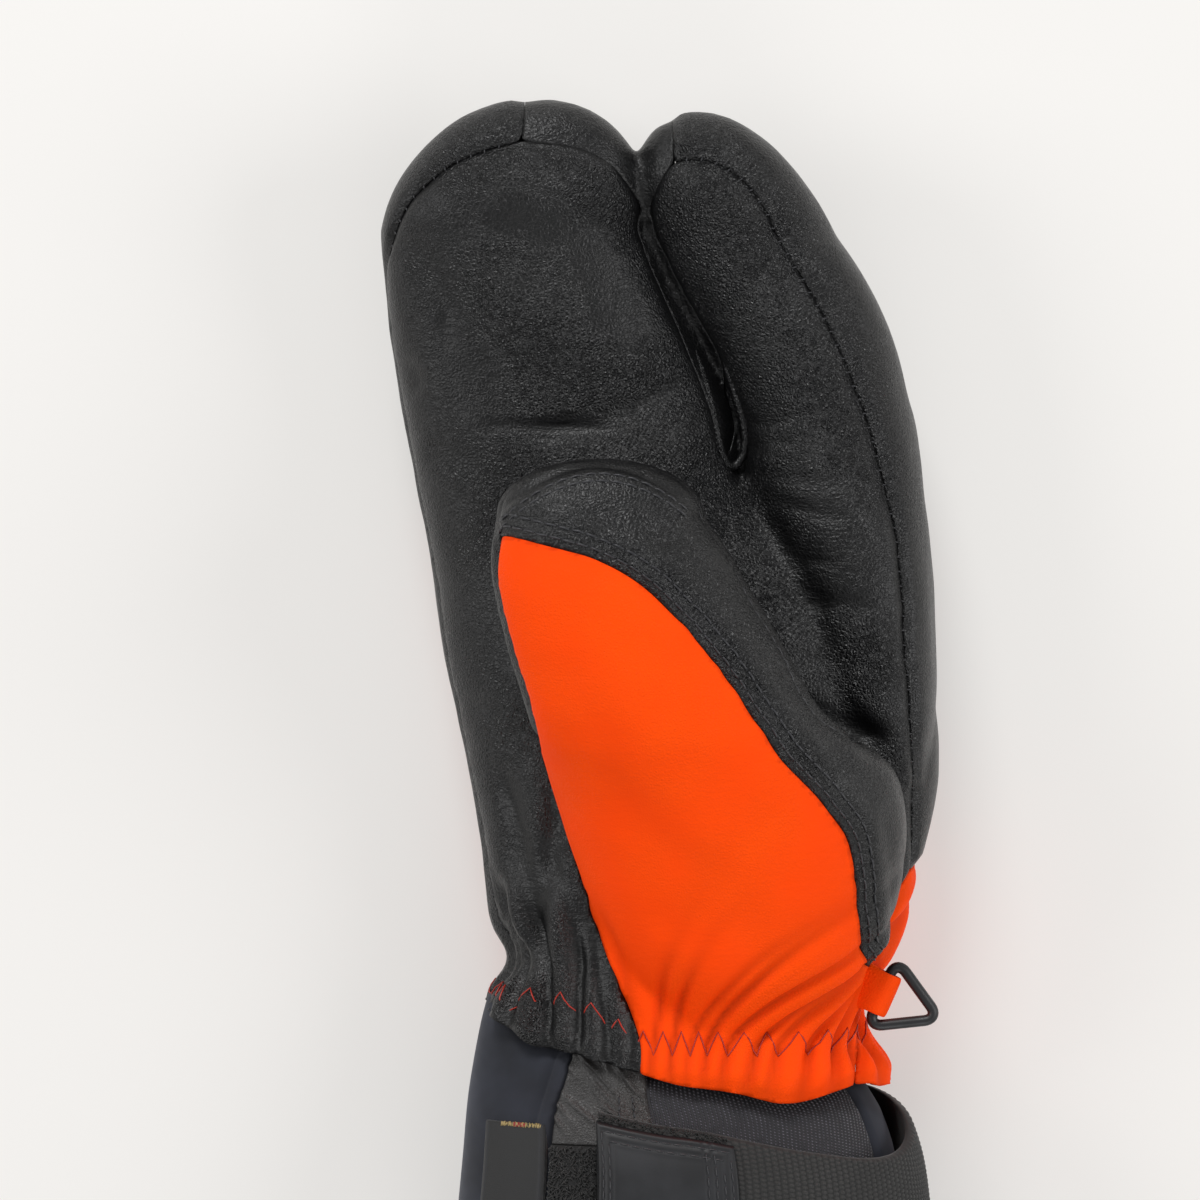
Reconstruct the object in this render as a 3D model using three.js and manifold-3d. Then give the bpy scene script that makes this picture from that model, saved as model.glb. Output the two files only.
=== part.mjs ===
// Three-finger ski mitt for the right hand, lying on its back with the palm up.
// It has a padded leather hand with a pocket for three fingers, a separate index finger and a
// thumb folded over the palm, gathered at the wrist, above a stretch cuff with a closure strap.
// Fingers point along +Y, the thumb side is +X, the palm faces +Z. Millimetres.

import * as THREE from "three";
import { mergeVertices } from "three/addons/utils/BufferGeometryUtils.js";
import Module from "manifold-3d";

const wasm = await Module();
wasm.setup();

// Driving dimensions
const HAND_LENGTH = 203; // wrist elastic to the tip of the three-finger pocket
const HAND_WIDTH = 120; // widest across the knuckles
const HAND_DEPTH = 50; // back to palm at the knuckles
const INDEX_LENGTH = 200; // wrist elastic to the tip of the index finger
const INDEX_WIDTH = 41;
const FINGER_GAP = 0.8; // between the pocket and the index finger at their tips
const THUMB_LENGTH = 124; // wrist elastic to the tip of the thumb
const THUMB_WIDTH = 56;
const THUMB_DEPTH = 32;
const WALL = 3; // leather with its padding
const SEAM_GAP = 0.3; // between two sewn pieces
const GATHER_HEIGHT = 1; // of the deepest gathers at the wrist
const SEAM_INSET = 10; // from the silhouette to the palm seam, near the index finger
const HEM_LENGTH = 13; // leather below the wrist elastic, on the thumb side
const CUFF_LENGTH = 75; // below the wrist elastic
const CUFF_WIDTH = 105;
const CUFF_DEPTH = 62;
const CUFF_WALL = 2.6; // foam with knit faces
const TUCK_LENGTH = 13; // cuff hidden inside the leather
const STRAP_WIDTH = 30;
const STRAP_WALL = 1.7;
const STRAP_BULGE = 4.2; // how far the strap stands off the thumb side of the cuff
const TAB_WALL = 1.2; // leather end sewn on the strap
const LABEL_WIDTH = 14;
const LABEL_LENGTH = 34;
const LABEL_WALL = 0.6;
const PATCH_WALL = 1.6; // hook-and-loop patch
const PLACKET_WALL = 0.9; // thin leather behind the closure
const RING_SIDE = 20; // between its corners, before they are rounded
const RING_CORNER = 2.2; // outer corner radius
const RING_WIRE = 2.4;
const RING_TURN = -24; // degrees, the way the ring's bar leans
const RING_AT = 0.079; // share of the thumb's length, from the wrist elastic
const RING_ROUND = 18; // degrees round the thumb's side
const LOOP_WIDTH = 9;
const LOOP_WALL = 1.2;
const LOOP_REACH = 4; // mitt wall to the middle of the ring's bar
const RUNNING_GAP = 0.35; // between the ring's bar and the eye of its loop

// Resolution
const BODY_STEP = 15; // between two rings of a tube
const TIP_RINGS = 4;
const CUT_STEP = 14; // between two points of a seam

// Colours and finishes
const BLACK_LEATHER = { color: "#1c1c1e", roughness: 0.48, metalness: 0 };
const ORANGE_LEATHER = { color: "#ff4a08", roughness: 0.6, metalness: 0 };
const GREY_LEATHER = { color: "#4a4643", roughness: 0.75, metalness: 0 };
const FOAM_KNIT = { color: "#26262c", roughness: 0.85, metalness: 0 };
const WOVEN_STRETCH = { color: "#2b2a31", roughness: 0.8, metalness: 0 };
const WEBBING = { color: "#242424", roughness: 0.8, metalness: 0 };
const SMOOTH_TAB = { color: "#333438", roughness: 0.5, metalness: 0 };
const LOOP_PILE = { color: "#1a1a1b", roughness: 0.95, metalness: 0 };
const LABEL_WEAVE = { color: "#1f2025", roughness: 0.8, metalness: 0 };
const COATED_WIRE = { color: "#2b2d2f", roughness: 0.45, metalness: 0 };

// Tubes. Each row is one section: at is a share of the tube's length from the wrist elastic, left
// and right are shares of the hand's width, low and high are shares of the hand's depth, ruffle is a
// share of the gathers' height, and seamLeft and seamRight are shares of the seam inset.
const thumb = {
  length: THUMB_LENGTH,
  samples: 22,
  square: { high: 2.3, low: 2.3 },
  tip: { at: 1, middle: -0.112, level: 1.36, power: 2 },
  rows: [
    { at: -HEM_LENGTH / THUMB_LENGTH, middle: 0.157, width: 0.81, level: 0.68, depth: 1.42, ruffle: 0.5 },
    { at: -0.055, middle: 0.16, width: 0.83, level: 0.68, depth: 1.38, ruffle: 0.8 },
    { at: 0.016, middle: 0.16, width: 0.85, level: 0.69, depth: 1.35, ruffle: 0.3 },
    { at: 0.052, middle: 0.157, width: 0.89, level: 0.71, depth: 1.43, ruffle: 0.9 },
    { at: 0.122, middle: 0.15, width: 1.01, level: 0.79, depth: 1.53, ruffle: 0.5 },
    { at: 0.227, middle: 0.141, width: 1.17, level: 0.89, depth: 1.53 },
    { at: 0.314, middle: 0.135, width: 1.26, level: 0.95, depth: 1.6 },
    { at: 0.402, middle: 0.122, width: 1.3, level: 1.03, depth: 1.56 },
    { at: 0.471, middle: 0.1, width: 1.29, level: 1.12, depth: 1.46 },
    { at: 0.524, middle: 0.06, width: 1.2, level: 1.24, depth: 1.22 },
    { at: 0.58, middle: 0.016, width: 1.08, level: 1.335, depth: 1 },
    { at: 0.67, middle: -0.025, width: 1.02, level: 1.365, depth: 0.98 },
    { at: 0.76, middle: -0.062, width: 0.96, level: 1.38, depth: 0.97 },
    { at: 0.833, middle: -0.087, width: 0.893, level: 1.385, depth: 0.93 },
    { at: 0.905, middle: -0.107, width: 0.77, level: 1.375, depth: 0.82 },
  ],
};
const index = {
  length: INDEX_LENGTH,
  samples: 18,
  square: { high: 2.4, low: 2.6 },
  tip: { at: 1, middle: 0.058, level: 0.8, power: 2 },
  rows: [
    { at: 0.27, right: 0.486, width: 0.42, low: 0.14, high: 0.9, seamLeft: 0.15, seamRight: 0.4 },
    { at: 0.363, right: 0.503, width: 0.65, low: 0.02, high: 0.98, seamLeft: 0.15, seamRight: 0.68 },
    { at: 0.43, right: 0.503, width: 0.78, low: 0.02, high: 0.974, seamLeft: 0.15, seamRight: 0.76 },
    { at: 0.517, right: 0.495, width: 0.9, low: 0.016, high: 0.96, seamLeft: -0.5, seamRight: 0.78 },
    { at: 0.583, right: 0.484, width: 0.965, low: 0.02, high: 0.944, seamLeft: -0.5, seamRight: 0.9 },
    { at: 0.66, right: 0.468, width: 0.936, low: 0.05, high: 0.936, seamLeft: 0, seamRight: 1.08 },
    { at: 0.705, right: 0.45, width: 0.96, low: 0.08, high: 0.94, seamLeft: 0.15, seamRight: 1.22 },
    { at: 0.77, right: 0.418, width: 1.033, low: 0.15, high: 0.96, seamLeft: 0.15, seamRight: 1.44 },
    { at: 0.825, right: 0.369, width: 1.038, low: 0.22, high: 0.984, seamLeft: 0.15, seamRight: 1.47 },
    { at: 0.87, right: 0.316, width: 0.988, low: 0.29, high: 1, seamLeft: 0.15, seamRight: 1.4 },
  ],
};
// Above the finger gap the pocket's right side follows the index finger: gap is its share of
// FINGER_GAP there.
const hand = {
  length: HAND_LENGTH,
  samples: 30,
  square: { high: 2.5, low: 2.8 },
  tip: { at: 1, middle: -0.221, level: 0.84, power: 2 },
  rows: [
    { at: -0.064, left: -0.308, right: 0.45, low: 0.1, high: 1.12, ruffle: 0.6, seamLeft: -0.6, seamRight: 0.2 },
    { at: -0.024, left: -0.303, right: 0.4, low: 0.14, high: 1.1, ruffle: 0.9, seamLeft: -0.6, seamRight: 0.2 },
    { at: 0.015, left: -0.296, right: 0.373, low: 0.17, high: 1.09, ruffle: 0.3, seamLeft: -0.6, seamRight: 0.2 },
    { at: 0.045, left: -0.288, right: 0.378, low: 0.165, high: 1.095, ruffle: 1, seamLeft: -0.6, seamRight: 0.2 },
    { at: 0.08, left: -0.276, right: 0.42, low: 0.12, high: 1.1, ruffle: 0.8, seamLeft: -0.6, seamRight: 0.2 },
    { at: 0.112, left: -0.303, right: 0.446, low: 0.08, high: 1.095, ruffle: 0.5, seamLeft: -0.6, seamRight: 0.15 },
    { at: 0.142, left: -0.315, right: 0.46, low: 0.05, high: 1.09, ruffle: 0.3, seamLeft: -0.6, seamRight: 0.15 },
    { at: 0.197, left: -0.323, right: 0.482, low: 0.01, high: 1.06, seamLeft: -0.6, seamRight: 0.26 },
    { at: 0.3, left: -0.353, right: 0.508, low: -0.024, high: 1.02, seamLeft: -0.6, seamRight: 0.64 },
    { at: 0.42, left: -0.398, right: 0.475, low: -0.028, high: 0.98, seamLeft: -0.6, seamRight: 0.6 },
    { at: 0.488, left: -0.415, right: 0.38, low: -0.028, high: 0.96, seamLeft: -0.6, seamRight: 0.3 },
    { at: 0.55, left: -0.432, right: 0.235, low: -0.024, high: 0.94, seamLeft: -0.6, seamRight: 0.4 },
    { at: 0.59, left: -0.444, right: 0.165, low: -0.014, high: 0.932, seamLeft: -0.6, seamRight: 0.4 },
    { at: 0.62, left: -0.453, gap: 0, low: -0.01, high: 0.93, seamLeft: -0.6, seamRight: 0.61 },
    { at: 0.67, left: -0.47, gap: 1, low: 0.04, high: 0.93, seamLeft: -0.6, seamRight: 0.55 },
    { at: 0.74, left: -0.49, gap: 1, low: 0.1, high: 0.95, seamLeft: -0.5, seamRight: 0.36 },
    { at: 0.8, left: -0.5, gap: 1, low: 0.18, high: 0.98, seamLeft: -0.1, seamRight: 0.26 },
    { at: 0.862, left: -0.505, gap: 1, low: 0.28, high: 1.02, seamLeft: 0.29, seamRight: 0.2 },
  ],
};
// Cuff rows run down from the tucked top. Here at is a share of the cuff's length, left and right
// are shares of its width, low and high are shares of its depth.
const cuff = {
  length: CUFF_LENGTH,
  samples: 36,
  square: { high: 2.4, low: 2.7 },
  rows: [
    { at: TUCK_LENGTH / CUFF_LENGTH, left: -0.345, right: 0.385, low: 0.16, high: 0.8 },
    { at: 0.06, left: -0.369, right: 0.39, low: 0.16, high: 0.8 },
    { at: -0.015, left: -0.381, right: 0.4, low: 0.15, high: 0.81 },
    { at: -0.15, left: -0.398, right: 0.43, low: 0.11, high: 0.85 },
    { at: -0.23, left: -0.405, right: 0.462, low: 0.075, high: 0.89 },
    { at: -0.35, left: -0.412, right: 0.49, low: 0.035, high: 0.94 },
    { at: -0.5, left: -0.422, right: 0.505, low: 0.01, high: 0.97 },
    { at: -0.75, left: -0.438, right: 0.52, low: -0.008, high: 0.99 },
    { at: -1, left: -0.445, right: 0.53, low: -0.02, high: 1 },
  ],
};

// A smooth curve through one named column of a tube's rows, at any place along it.
function column(rows, name, at) {
  const last = rows.length - 1;
  const direction = Math.sign(rows[last].at - rows[0].at);
  let i = 0;
  while (i < last - 1 && (rows[i + 1].at - at) * direction < 0) i++;
  const span = rows[i + 1].at - rows[i].at;
  const t = (at - rows[i].at) / span;
  const slope = (k) => {
    const before = rows[Math.max(k - 1, 0)];
    const after = rows[Math.min(k + 1, last)];
    return ((after[name] - before[name]) / (after.at - before.at)) * span;
  };
  const [a, b] = [rows[i][name], rows[i + 1][name]];
  const [ta, tb] = [slope(i), slope(i + 1)];
  return (
    a * (2 * t ** 3 - 3 * t ** 2 + 1) +
    ta * (t ** 3 - 2 * t ** 2 + t) +
    b * (3 * t ** 2 - 2 * t ** 3) +
    tb * (t ** 3 - t ** 2)
  );
}

// Turns a tube's rows into millimetres, so that each one has left, right, low and high.
function sizeTube(tube, toLimits) {
  tube.rows = tube.rows.map((row) => ({
    ...toLimits(row),
    at: row.at * tube.length,
    ruffle: (row.ruffle ?? 0) * GATHER_HEIGHT,
    seamLeft: (row.seamLeft ?? 0) * SEAM_INSET,
    seamRight: (row.seamRight ?? 0) * SEAM_INSET,
  }));
  if (tube.tip) {
    tube.tip.at *= tube.length;
    tube.tip.middle *= HAND_WIDTH;
    tube.tip.level *= HAND_DEPTH;
  }
}
sizeTube(thumb, (row) => ({
  left: row.middle * HAND_WIDTH - (row.width * THUMB_WIDTH) / 2,
  right: row.middle * HAND_WIDTH + (row.width * THUMB_WIDTH) / 2,
  low: row.level * HAND_DEPTH - (row.depth * THUMB_DEPTH) / 2,
  high: row.level * HAND_DEPTH + (row.depth * THUMB_DEPTH) / 2,
}));
sizeTube(index, (row) => ({
  left: row.right * HAND_WIDTH - row.width * INDEX_WIDTH,
  right: row.right * HAND_WIDTH,
  low: row.low * HAND_DEPTH,
  high: row.high * HAND_DEPTH,
}));
sizeTube(hand, (row) => ({
  left: row.left * HAND_WIDTH,
  right:
    row.gap === undefined
      ? row.right * HAND_WIDTH
      : column(index.rows, "left", row.at * HAND_LENGTH) - row.gap * FINGER_GAP,
  low: row.low * HAND_DEPTH,
  high: row.high * HAND_DEPTH,
}));
sizeTube(cuff, (row) => ({
  left: row.left * CUFF_WIDTH,
  right: row.right * CUFF_WIDTH,
  low: row.low * CUFF_DEPTH,
  high: row.high * CUFF_DEPTH,
}));

// The section of a tube at a place, taken in by inset on every side.
function sectionAt(tube, at, inset = 0) {
  const value = (name) => column(tube.rows, name, at);
  return {
    at,
    left: value("left") + inset,
    right: value("right") - inset,
    low: value("low") + inset,
    high: value("high") - inset,
    ruffle: value("ruffle"),
  };
}

// All sections of a tube from its start to just under its tip. The tip rounds off as a
// superellipse from the last row.
function sectionsOf(tube, inset = 0) {
  const { rows, tip } = tube;
  const made = [];
  for (let i = 0; i + 1 < rows.length; i++) {
    const span = rows[i + 1].at - rows[i].at;
    const steps = Math.max(1, Math.ceil(Math.abs(span) / BODY_STEP - 0.2));
    for (let k = 0; k < steps; k++) {
      made.push(sectionAt(tube, rows[i].at + (span * k) / steps, inset));
    }
  }
  const last = sectionAt(tube, rows[rows.length - 1].at, inset);
  made.push(last);
  if (!tip) return made;
  for (let k = 1; k < TIP_RINGS; k++) {
    const along = Math.sin((k / TIP_RINGS) * (Math.PI / 2));
    const share = (1 - along ** tip.power) ** (1 / tip.power);
    const middle = THREE.MathUtils.lerp((last.left + last.right) / 2, tip.middle, along);
    const level = THREE.MathUtils.lerp((last.low + last.high) / 2, tip.level, along);
    made.push({
      at: THREE.MathUtils.lerp(last.at, tip.at - inset, along),
      left: middle - ((last.right - last.left) / 2) * share,
      right: middle + ((last.right - last.left) / 2) * share,
      low: level - ((last.high - last.low) / 2) * share,
      high: level + ((last.high - last.low) / 2) * share,
      ruffle: 0,
    });
  }
  return made;
}

// A point on a section: a superellipse, squarer on the back, flattened where it meets the floor.
function pointOn(section, square, angle, push = 0) {
  const power = (value, exponent) => Math.sign(value) * Math.abs(value) ** exponent;
  const exponent = 2 / (Math.sin(angle) > 0 ? square.high : square.low);
  const halfWidth = (section.right - section.left) / 2 + push;
  const halfDepth = (section.high - section.low) / 2 + push;
  const x = (section.left + section.right) / 2 + halfWidth * power(Math.cos(angle), exponent);
  const z = (section.low + section.high) / 2 + halfDepth * power(Math.sin(angle), exponent);
  return new THREE.Vector3(x, section.at, z);
}

function geometryFrom(points, faces) {
  const geometry = new THREE.BufferGeometry().setFromPoints(points);
  geometry.setIndex(faces.flat());
  return geometry;
}

// A closed geometry as a solid that can be cut and joined.
function solidFrom(geometry) {
  const bare = geometry.clone();
  bare.deleteAttribute("normal");
  bare.deleteAttribute("uv");
  const merged = mergeVertices(bare, 1e-4);
  return new wasm.Manifold(
    new wasm.Mesh({
      numProp: 3,
      vertProperties: merged.attributes.position.array,
      triVerts: new Uint32Array(merged.index.array),
    }),
  );
}

function geometryOf(solid) {
  const mesh = solid.getMesh();
  const geometry = new THREE.BufferGeometry();
  geometry.setAttribute("position", new THREE.BufferAttribute(mesh.vertProperties, 3));
  geometry.setIndex(new THREE.BufferAttribute(mesh.triVerts, 1));
  geometry.computeVertexNormals();
  return geometry;
}

// The solid of a tube taken in by inset, closed to a point at its tip. Its open end can be
// drawn out by extend, to cut through another piece's end.
function tubeSolid(tube, inset = 0, extend = 0, samples = tube.samples) {
  const rings = sectionsOf(tube, inset);
  if (extend) rings.unshift({ ...rings[0], at: rings[0].at - extend });
  const points = [];
  const faces = [];
  rings.forEach((ring) => {
    for (let k = 0; k < samples; k++) {
      const fold = k % 2 ? ring.ruffle / 2 : -ring.ruffle / 2;
      const point = pointOn(ring, tube.square, (k / samples) * 2 * Math.PI, fold);
      point.z = Math.max(point.z, inset);
      points.push(point);
    }
  });
  const at = (ring, k) => ring * samples + (k % samples);
  for (let ring = 0; ring + 1 < rings.length; ring++) {
    for (let k = 0; k < samples; k++) {
      faces.push([at(ring, k), at(ring + 1, k), at(ring + 1, k + 1)]);
      faces.push([at(ring, k), at(ring + 1, k + 1), at(ring, k + 1)]);
    }
  }
  const start = rings[0];
  const top = rings.length - 1;
  points.push(new THREE.Vector3((start.left + start.right) / 2, start.at, (start.low + start.high) / 2));
  points.push(new THREE.Vector3(tube.tip.middle, tube.tip.at - inset, tube.tip.level));
  for (let k = 0; k < samples; k++) {
    faces.push([points.length - 2, at(0, k), at(0, k + 1)]);
    faces.push([points.length - 1, at(top, k + 1), at(top, k)]);
  }
  return solidFrom(geometryFrom(points, faces));
}

// A prism of an outline drawn on the palm, seen from above, between two heights.
function prismZ(outline, low = -HAND_DEPTH, high = 4 * HAND_DEPTH) {
  const geometry = new THREE.ExtrudeGeometry(new THREE.Shape(outline), {
    depth: high - low,
    bevelEnabled: false,
  });
  return solidFrom(geometry.translate(0, 0, low));
}

// A prism of a profile drawn from the side, with y along and z up, right across the mitt.
function prismX(profile, half = 2 * HAND_WIDTH) {
  const geometry = new THREE.ExtrudeGeometry(new THREE.Shape(profile), {
    depth: 2 * half,
    bevelEnabled: false,
  });
  geometry.translate(0, 0, -half);
  geometry.applyMatrix4(new THREE.Matrix4().set(0, 0, 1, 0, 1, 0, 0, 0, 0, 1, 0, 0, 0, 0, 0, 1));
  return solidFrom(geometry);
}

// The outline of a tube seen from above, taken in from its sides and its tip.
function outlineOf(tube, takeIn, grow) {
  const { rows, tip } = tube;
  const first = rows[0].at;
  const last = rows[rows.length - 1].at;
  const steps = Math.ceil((last - first) / CUT_STEP);
  const leftSide = [];
  const rightSide = [];
  for (let k = 0; k <= steps; k++) {
    const at = first + ((last - first) * k) / steps;
    const inset = takeIn(at);
    leftSide.push(new THREE.Vector2(column(rows, "left", at) + inset.left - grow, at));
    rightSide.push(new THREE.Vector2(column(rows, "right", at) - inset.right + grow, at));
  }
  leftSide[0].y -= HEM_LENGTH;
  rightSide[0].y -= HEM_LENGTH;
  const end = { left: leftSide[steps].x, right: rightSide[steps].x };
  const reach = tip.at - takeIn(last).tip + grow;
  for (let k = 1; k < TIP_RINGS; k++) {
    const along = Math.sin((k / TIP_RINGS) * (Math.PI / 2));
    const half = ((end.right - end.left) / 2) * (1 - along ** tip.power) ** (1 / tip.power);
    const middle = THREE.MathUtils.lerp((end.left + end.right) / 2, tip.middle, along);
    const y = THREE.MathUtils.lerp(last, reach, along);
    leftSide.push(new THREE.Vector2(middle - half, y));
    rightSide.push(new THREE.Vector2(middle + half, y));
  }
  leftSide.push(new THREE.Vector2(tip.middle, reach));
  return [...rightSide, ...leftSide.reverse()];
}

// Everything above, or below, a line at a share of a tube's depth, seen from the side.
function depthHalf(tube, share, above, grow) {
  const points = sectionsOf(tube).map((section) => {
    const level = THREE.MathUtils.lerp(section.low, section.high, share);
    return new THREE.Vector2(section.at, level + (above ? -grow : grow));
  });
  const far = above ? 4 * HAND_DEPTH : -HAND_DEPTH;
  const first = points[0];
  const last = points[points.length - 1];
  const beyond = 3 * HEM_LENGTH;
  return prismX([
    new THREE.Vector2(first.x - beyond, first.y),
    ...points,
    new THREE.Vector2(last.x + beyond, last.y),
    new THREE.Vector2(last.x + beyond, far),
    new THREE.Vector2(first.x - beyond, far),
  ]);
}

// A share of the hand's width and of its length, as a point seen from above.
const onHand = (x, y) => new THREE.Vector2(x * HAND_WIDTH, y * HAND_LENGTH);

// Cuts a solid in two along a cutter, and leaves the seam gap between the two.
function divide(solid, cutter) {
  return [solid.intersect(cutter(0)), solid.subtract(cutter(SEAM_GAP))];
}

// A closed outline moved outwards by grow. Its points run anticlockwise.
function grown(outline, grow) {
  return outline.map((point, i) => {
    const before = outline[(i + outline.length - 1) % outline.length];
    const after = outline[(i + 1) % outline.length];
    const out = (a, b) => new THREE.Vector2(b.y - a.y, a.x - b.x).normalize();
    const [n, m] = [out(before, point), out(point, after)];
    const miter = n.clone().add(m).normalize();
    return point.clone().addScaledVector(miter, grow / Math.max(miter.dot(n), 0.5));
  });
}

// The leather hand: one wall round the pocket, the index finger and the thumb
const tubes = [hand, index, thumb];
const coarser = (tube) => 2 * Math.round(tube.samples / 4); // samples of an inner face
const joined = (inset, extend, samplesOf) =>
  tubes
    .map((tube) => tubeSolid(tube, inset, extend, samplesOf(tube)))
    .reduce((whole, part) => whole.add(part));
const skin = joined(0, 0, (tube) => tube.samples);
const cavity = joined(WALL, HEM_LENGTH, coarser);

// The hem is higher on the little-finger side.
const aboveHem = (grow) => {
  const line = [
    onHand(-0.6, 0.085),
    onHand(-0.325, 0.059),
    onHand(-0.289, 0.027),
    onHand(-0.23, -0.006),
    onHand(-0.155, -0.012),
    onHand(-0.05, -0.03),
    onHand(0.03, -0.044),
    onHand(0.13, -0.051),
    onHand(0.2, -0.062),
    onHand(0.25, -0.063),
    onHand(0.36, -0.045),
    onHand(0.46, -0.058),
    onHand(0.9, -0.058),
    onHand(0.9, 2),
    onHand(-0.6, 2),
  ];
  return prismZ(grown(line, grow));
};
const shell = skin.subtract(cavity).intersect(aboveHem(0));

// Where the thumb panels take over from the palm: the thumb itself and, at the wrist, all that
// lies under its outline.
const WEB_AT = 0.5 * THUMB_LENGTH; // where the free thumb leaves the palm
const ROOT_TOP = 0.3 * THUMB_LENGTH;
const ROOT_LEVEL = 0.62; // share of the hand's depth
const thumbRoot = (grow) =>
  prismZ(outlineOf(thumb, () => ({ left: 0, right: 0, tip: 0 }), grow))
    .intersect(depthHalf(hand, ROOT_LEVEL, true, grow))
    .intersect(
      prismZ([
        new THREE.Vector2(-HAND_WIDTH, -2 * HEM_LENGTH),
        new THREE.Vector2(HAND_WIDTH, -2 * HEM_LENGTH),
        new THREE.Vector2(HAND_WIDTH, ROOT_TOP + grow),
        new THREE.Vector2(-HAND_WIDTH, ROOT_TOP + grow),
      ]),
    );
const thumbZone = (grow) => tubeSolid(thumb, -grow, HEM_LENGTH).add(thumbRoot(grow));
const [thumbShell, handShell] = divide(shell, thumbZone);

// At the wrist the orange back wraps round the thumb side, below the index finger's side strip.
const wristWrap = (grow) =>
  prismZ(
    grown(
      [
        onHand(0.25, -0.2),
        onHand(0.9, -0.2),
        onHand(0.9, 0.24),
        onHand(0.474, 0.182),
        onHand(0.426, 0.147),
        onHand(0.3, 0.12),
        onHand(0.25, 0.12),
      ],
      grow,
    ),
  );
const seamTake = (tube, tip) => (at) => ({
  left: column(tube.rows, "seamLeft", at),
  right: column(tube.rows, "seamRight", at),
  tip,
});
const PALM_TIP_SEAM = 10.6; // from the fingertips to the palm panel's seam
const BACK_SEAM = 6.5; // from the sides to the back panels' seams
const BACK_TIP_SEAM = 9;
const PALM_SEAM_LEVEL = 0.6; // shares of the hand's depth
const BACK_SEAM_LEVEL = 0.42;
const palmZone = (grow) =>
  prismZ(outlineOf(hand, seamTake(hand, PALM_TIP_SEAM), grow))
    .add(prismZ(outlineOf(index, seamTake(index, PALM_TIP_SEAM), grow)))
    .intersect(depthHalf(hand, PALM_SEAM_LEVEL, true, grow));
const backTake = () => ({ left: BACK_SEAM, right: BACK_SEAM, tip: BACK_TIP_SEAM });
const backZone = (grow) =>
  prismZ(outlineOf(hand, backTake, grow))
    .add(prismZ(outlineOf(index, backTake, grow)))
    .intersect(depthHalf(hand, BACK_SEAM_LEVEL, false, grow));
const knuckleZone = (grow) =>
  prismZ(
    grown(
      [
        onHand(-0.9, -0.3),
        onHand(0.9, -0.3),
        onHand(0.9, 0.5),
        onHand(0.3, 0.56),
        onHand(0.12, 0.6),
        onHand(-0.1, 0.615),
        onHand(-0.3, 0.6),
        onHand(-0.9, 0.5),
      ],
      grow,
    ),
  );
const backHandZone = (grow) => backZone(grow).intersect(knuckleZone(grow)).add(wristWrap(grow));
const [handBack, fingers] = divide(handShell, backHandZone);
const [palmPanel, sides] = divide(fingers, palmZone);
const [backFingers, strips] = divide(sides, backZone);

// The side strips meet at each fingertip.
const leftOf = (points) => (grow) =>
  prismZ(grown([...points, onHand(-0.9, 2), onHand(-0.9, -0.5)], grow));
const pocketJoin = leftOf([onHand(-0.245, -0.5), onHand(-0.245, 2)]);
const indexJoin = leftOf([
  onHand(0.3, -0.5),
  onHand(0.3, 0.6),
  onHand(0.2, 0.75),
  onHand(0.02, 0.93),
  onHand(0.005, 2),
]);
const [ulnarStrip, otherStrips] = divide(strips, pocketJoin);
const [gapStrip, indexStrip] = divide(otherStrips, indexJoin);
const fingerDivide = leftOf([
  onHand(0.2, -0.5),
  onHand(0.15, 0.6),
  onHand(0.08, 0.75),
  onHand(-0.02, 0.9),
  onHand(-0.03, 2),
]);
const [pocketBack, indexBack] = divide(backFingers, fingerDivide);

// The thumb: orange back, black cap, black underside
const UNDERSIDE_LEVEL = 0.62; // share of the thumb's depth
const underThumb = (grow) => {
  const seam = sectionsOf(thumb)
    .filter((section) => section.at > WEB_AT)
    .map((section) => {
      const level = THREE.MathUtils.lerp(section.low, section.high, UNDERSIDE_LEVEL);
      return new THREE.Vector2(section.at, level + grow);
    });
  const [first, last] = [seam[0], seam[seam.length - 1]];
  return prismX([
    new THREE.Vector2(first.x - grow, -HAND_DEPTH),
    new THREE.Vector2(2 * HAND_LENGTH, -HAND_DEPTH),
    new THREE.Vector2(2 * HAND_LENGTH, last.y),
    ...seam.reverse(),
    new THREE.Vector2(first.x - grow, first.y - grow),
  ]);
};
const capZone = (grow) =>
  prismZ(
    grown(
      [
        onHand(-0.9, 0.6),
        onHand(-0.292, 0.537),
        onHand(-0.212, 0.523),
        onHand(-0.11, 0.508),
        onHand(-0.024, 0.477),
        onHand(0.044, 0.435),
        onHand(0.096, 0.395),
        onHand(0.148, 0.354),
        onHand(0.2, 0.303),
        onHand(0.272, 0.261),
        onHand(0.325, 0.219),
        onHand(0.342, 0.155),
        onHand(0.346, 0.111),
        onHand(0.362, 0.082),
        onHand(0.38, 0.074),
        onHand(0.9, 0.07),
        onHand(0.9, 0.9),
        onHand(-0.9, 0.9),
      ],
      grow,
    ),
  );
const [thumbUnder, thumbTop] = divide(thumbShell, underThumb);
const [thumbCap, thumbBack] = divide(thumbTop, capZone);

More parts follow.
